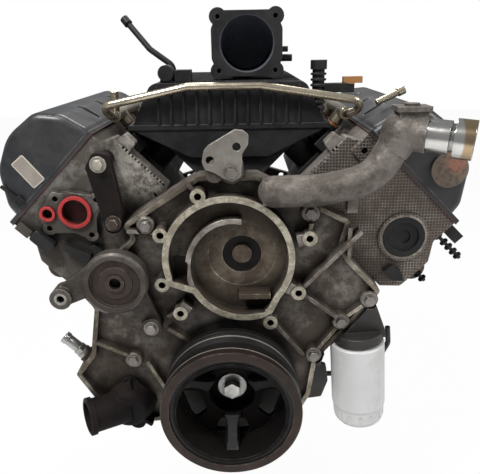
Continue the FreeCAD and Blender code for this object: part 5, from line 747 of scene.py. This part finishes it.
# Floor: a wide pale sheet under the engine that the camera sees as white and that still takes the
# engine's shadow.
floor_height, white_share = -0.36, 0.96
bpy.ops.mesh.primitive_plane_add(size=12, location=(0, 0, floor_height))
floor = bpy.context.object
floor.name = "floor"
pale = bpy.data.materials.new("pale_floor")
pale.use_nodes = True
pale_tree = pale.node_tree
pale_shader = pale_tree.nodes["Principled BSDF"]
pale_shader.inputs["Base Color"].default_value = (0.86, 0.86, 0.86, 1)
pale_shader.inputs["Roughness"].default_value = 0.9
bright = pale_tree.nodes.new("ShaderNodeEmission")
bright.inputs["Color"].default_value = (1, 1, 1, 1)
seen = pale_tree.nodes.new("ShaderNodeLightPath")
blend_floor = pale_tree.nodes.new("ShaderNodeMixShader")
seen_white = add_math(pale_tree, "MULTIPLY", seen.outputs["Is Camera Ray"], white_share)
pale_tree.links.new(seen_white, blend_floor.inputs["Fac"])
pale_tree.links.new(pale_shader.outputs["BSDF"], blend_floor.inputs[1])
pale_tree.links.new(bright.outputs["Emission"], blend_floor.inputs[2])
pale_tree.links.new(blend_floor.outputs["Shader"], pale_tree.nodes["Material Output"].inputs["Surface"])
floor.data.materials.append(pale)


# Backdrop: the world is plain white to the camera and through glass, and lights the engine with a
# soft, slightly cool sky.
sky_strength = 0.24
world = bpy.data.worlds.new("studio")
bpy.context.scene.world = world
world.use_nodes = True
world_tree = world.node_tree
sky = world_tree.nodes["Background"]
sky.inputs["Color"].default_value = (0.95, 0.97, 1.0, 1)
sky.inputs["Strength"].default_value = sky_strength
white = world_tree.nodes.new("ShaderNodeBackground")
white.inputs["Color"].default_value = (1, 1, 1, 1)
white.inputs["Strength"].default_value = 1.0
rays = world_tree.nodes.new("ShaderNodeLightPath")
shown = add_math(world_tree, "MAXIMUM", rays.outputs["Is Camera Ray"], rays.outputs["Is Transmission Ray"])
choose = world_tree.nodes.new("ShaderNodeMixShader")
world_tree.links.new(shown, choose.inputs["Fac"])
world_tree.links.new(sky.outputs["Background"], choose.inputs[1])
world_tree.links.new(white.outputs["Background"], choose.inputs[2])
world_tree.links.new(choose.outputs["Shader"], world_tree.nodes["World Output"].inputs["Surface"])


# Lamps: a key from the upper left, a fill from the right and a rim light from above and behind. Each
# row gives a lamp's place, its aim, its power in watts and its width.
front_aim, top_aim = (0, -0.3, 0.15), (0, -0.2, 0.3)
for stand, aim, power, width in (((-0.8, -1.4, 2.1), front_aim, 52.0, 0.5),
                                 ((1.7, -1.3, 1.5), front_aim, 22.0, 0.6),
                                 ((0.0, 0.9, 1.9), top_aim, 24.0, 1.0)):
    lamp = bpy.data.lights.new("soft_lamp", "AREA")
    lamp.energy = power
    lamp.size = width
    holder = bpy.data.objects.new("soft_lamp", lamp)
    bpy.context.scene.collection.objects.link(holder)
    holder.location = stand
    holder.rotation_euler = (Vector(aim) - Vector(stand)).to_track_quat("-Z", "Y").to_euler()


# Camera: it stands a little above the engine's front, and looks back and down at it with a slight
# tilt.
camera_stand, lens_mm, film_mm = (0.0249, -1.1306, 0.4490), 40.5, 36.0
pitch, yaw, roll = math.radians(19.4), math.radians(0.9), math.radians(1.1)
across = Vector((math.cos(yaw), math.sin(yaw), 0))
ahead = Vector((-math.sin(yaw) * math.cos(pitch), math.cos(yaw) * math.cos(pitch), -math.sin(pitch)))
upward = Vector((-math.sin(yaw) * math.sin(pitch), math.cos(yaw) * math.sin(pitch), math.cos(pitch)))
picture_right = across * math.cos(roll) - upward * math.sin(roll)
picture_up = across * math.sin(roll) + upward * math.cos(roll)
camera_data = bpy.data.cameras.new("camera")
camera_data.lens = lens_mm
camera_data.sensor_width = film_mm
camera = bpy.data.objects.new("camera", camera_data)
bpy.context.scene.collection.objects.link(camera)
turn = Matrix((picture_right, picture_up, -ahead)).transposed().to_4x4()
camera.matrix_world = Matrix.Translation(camera_stand) @ turn
bpy.context.scene.camera = camera
bpy.context.scene.view_settings.view_transform = "Standard"
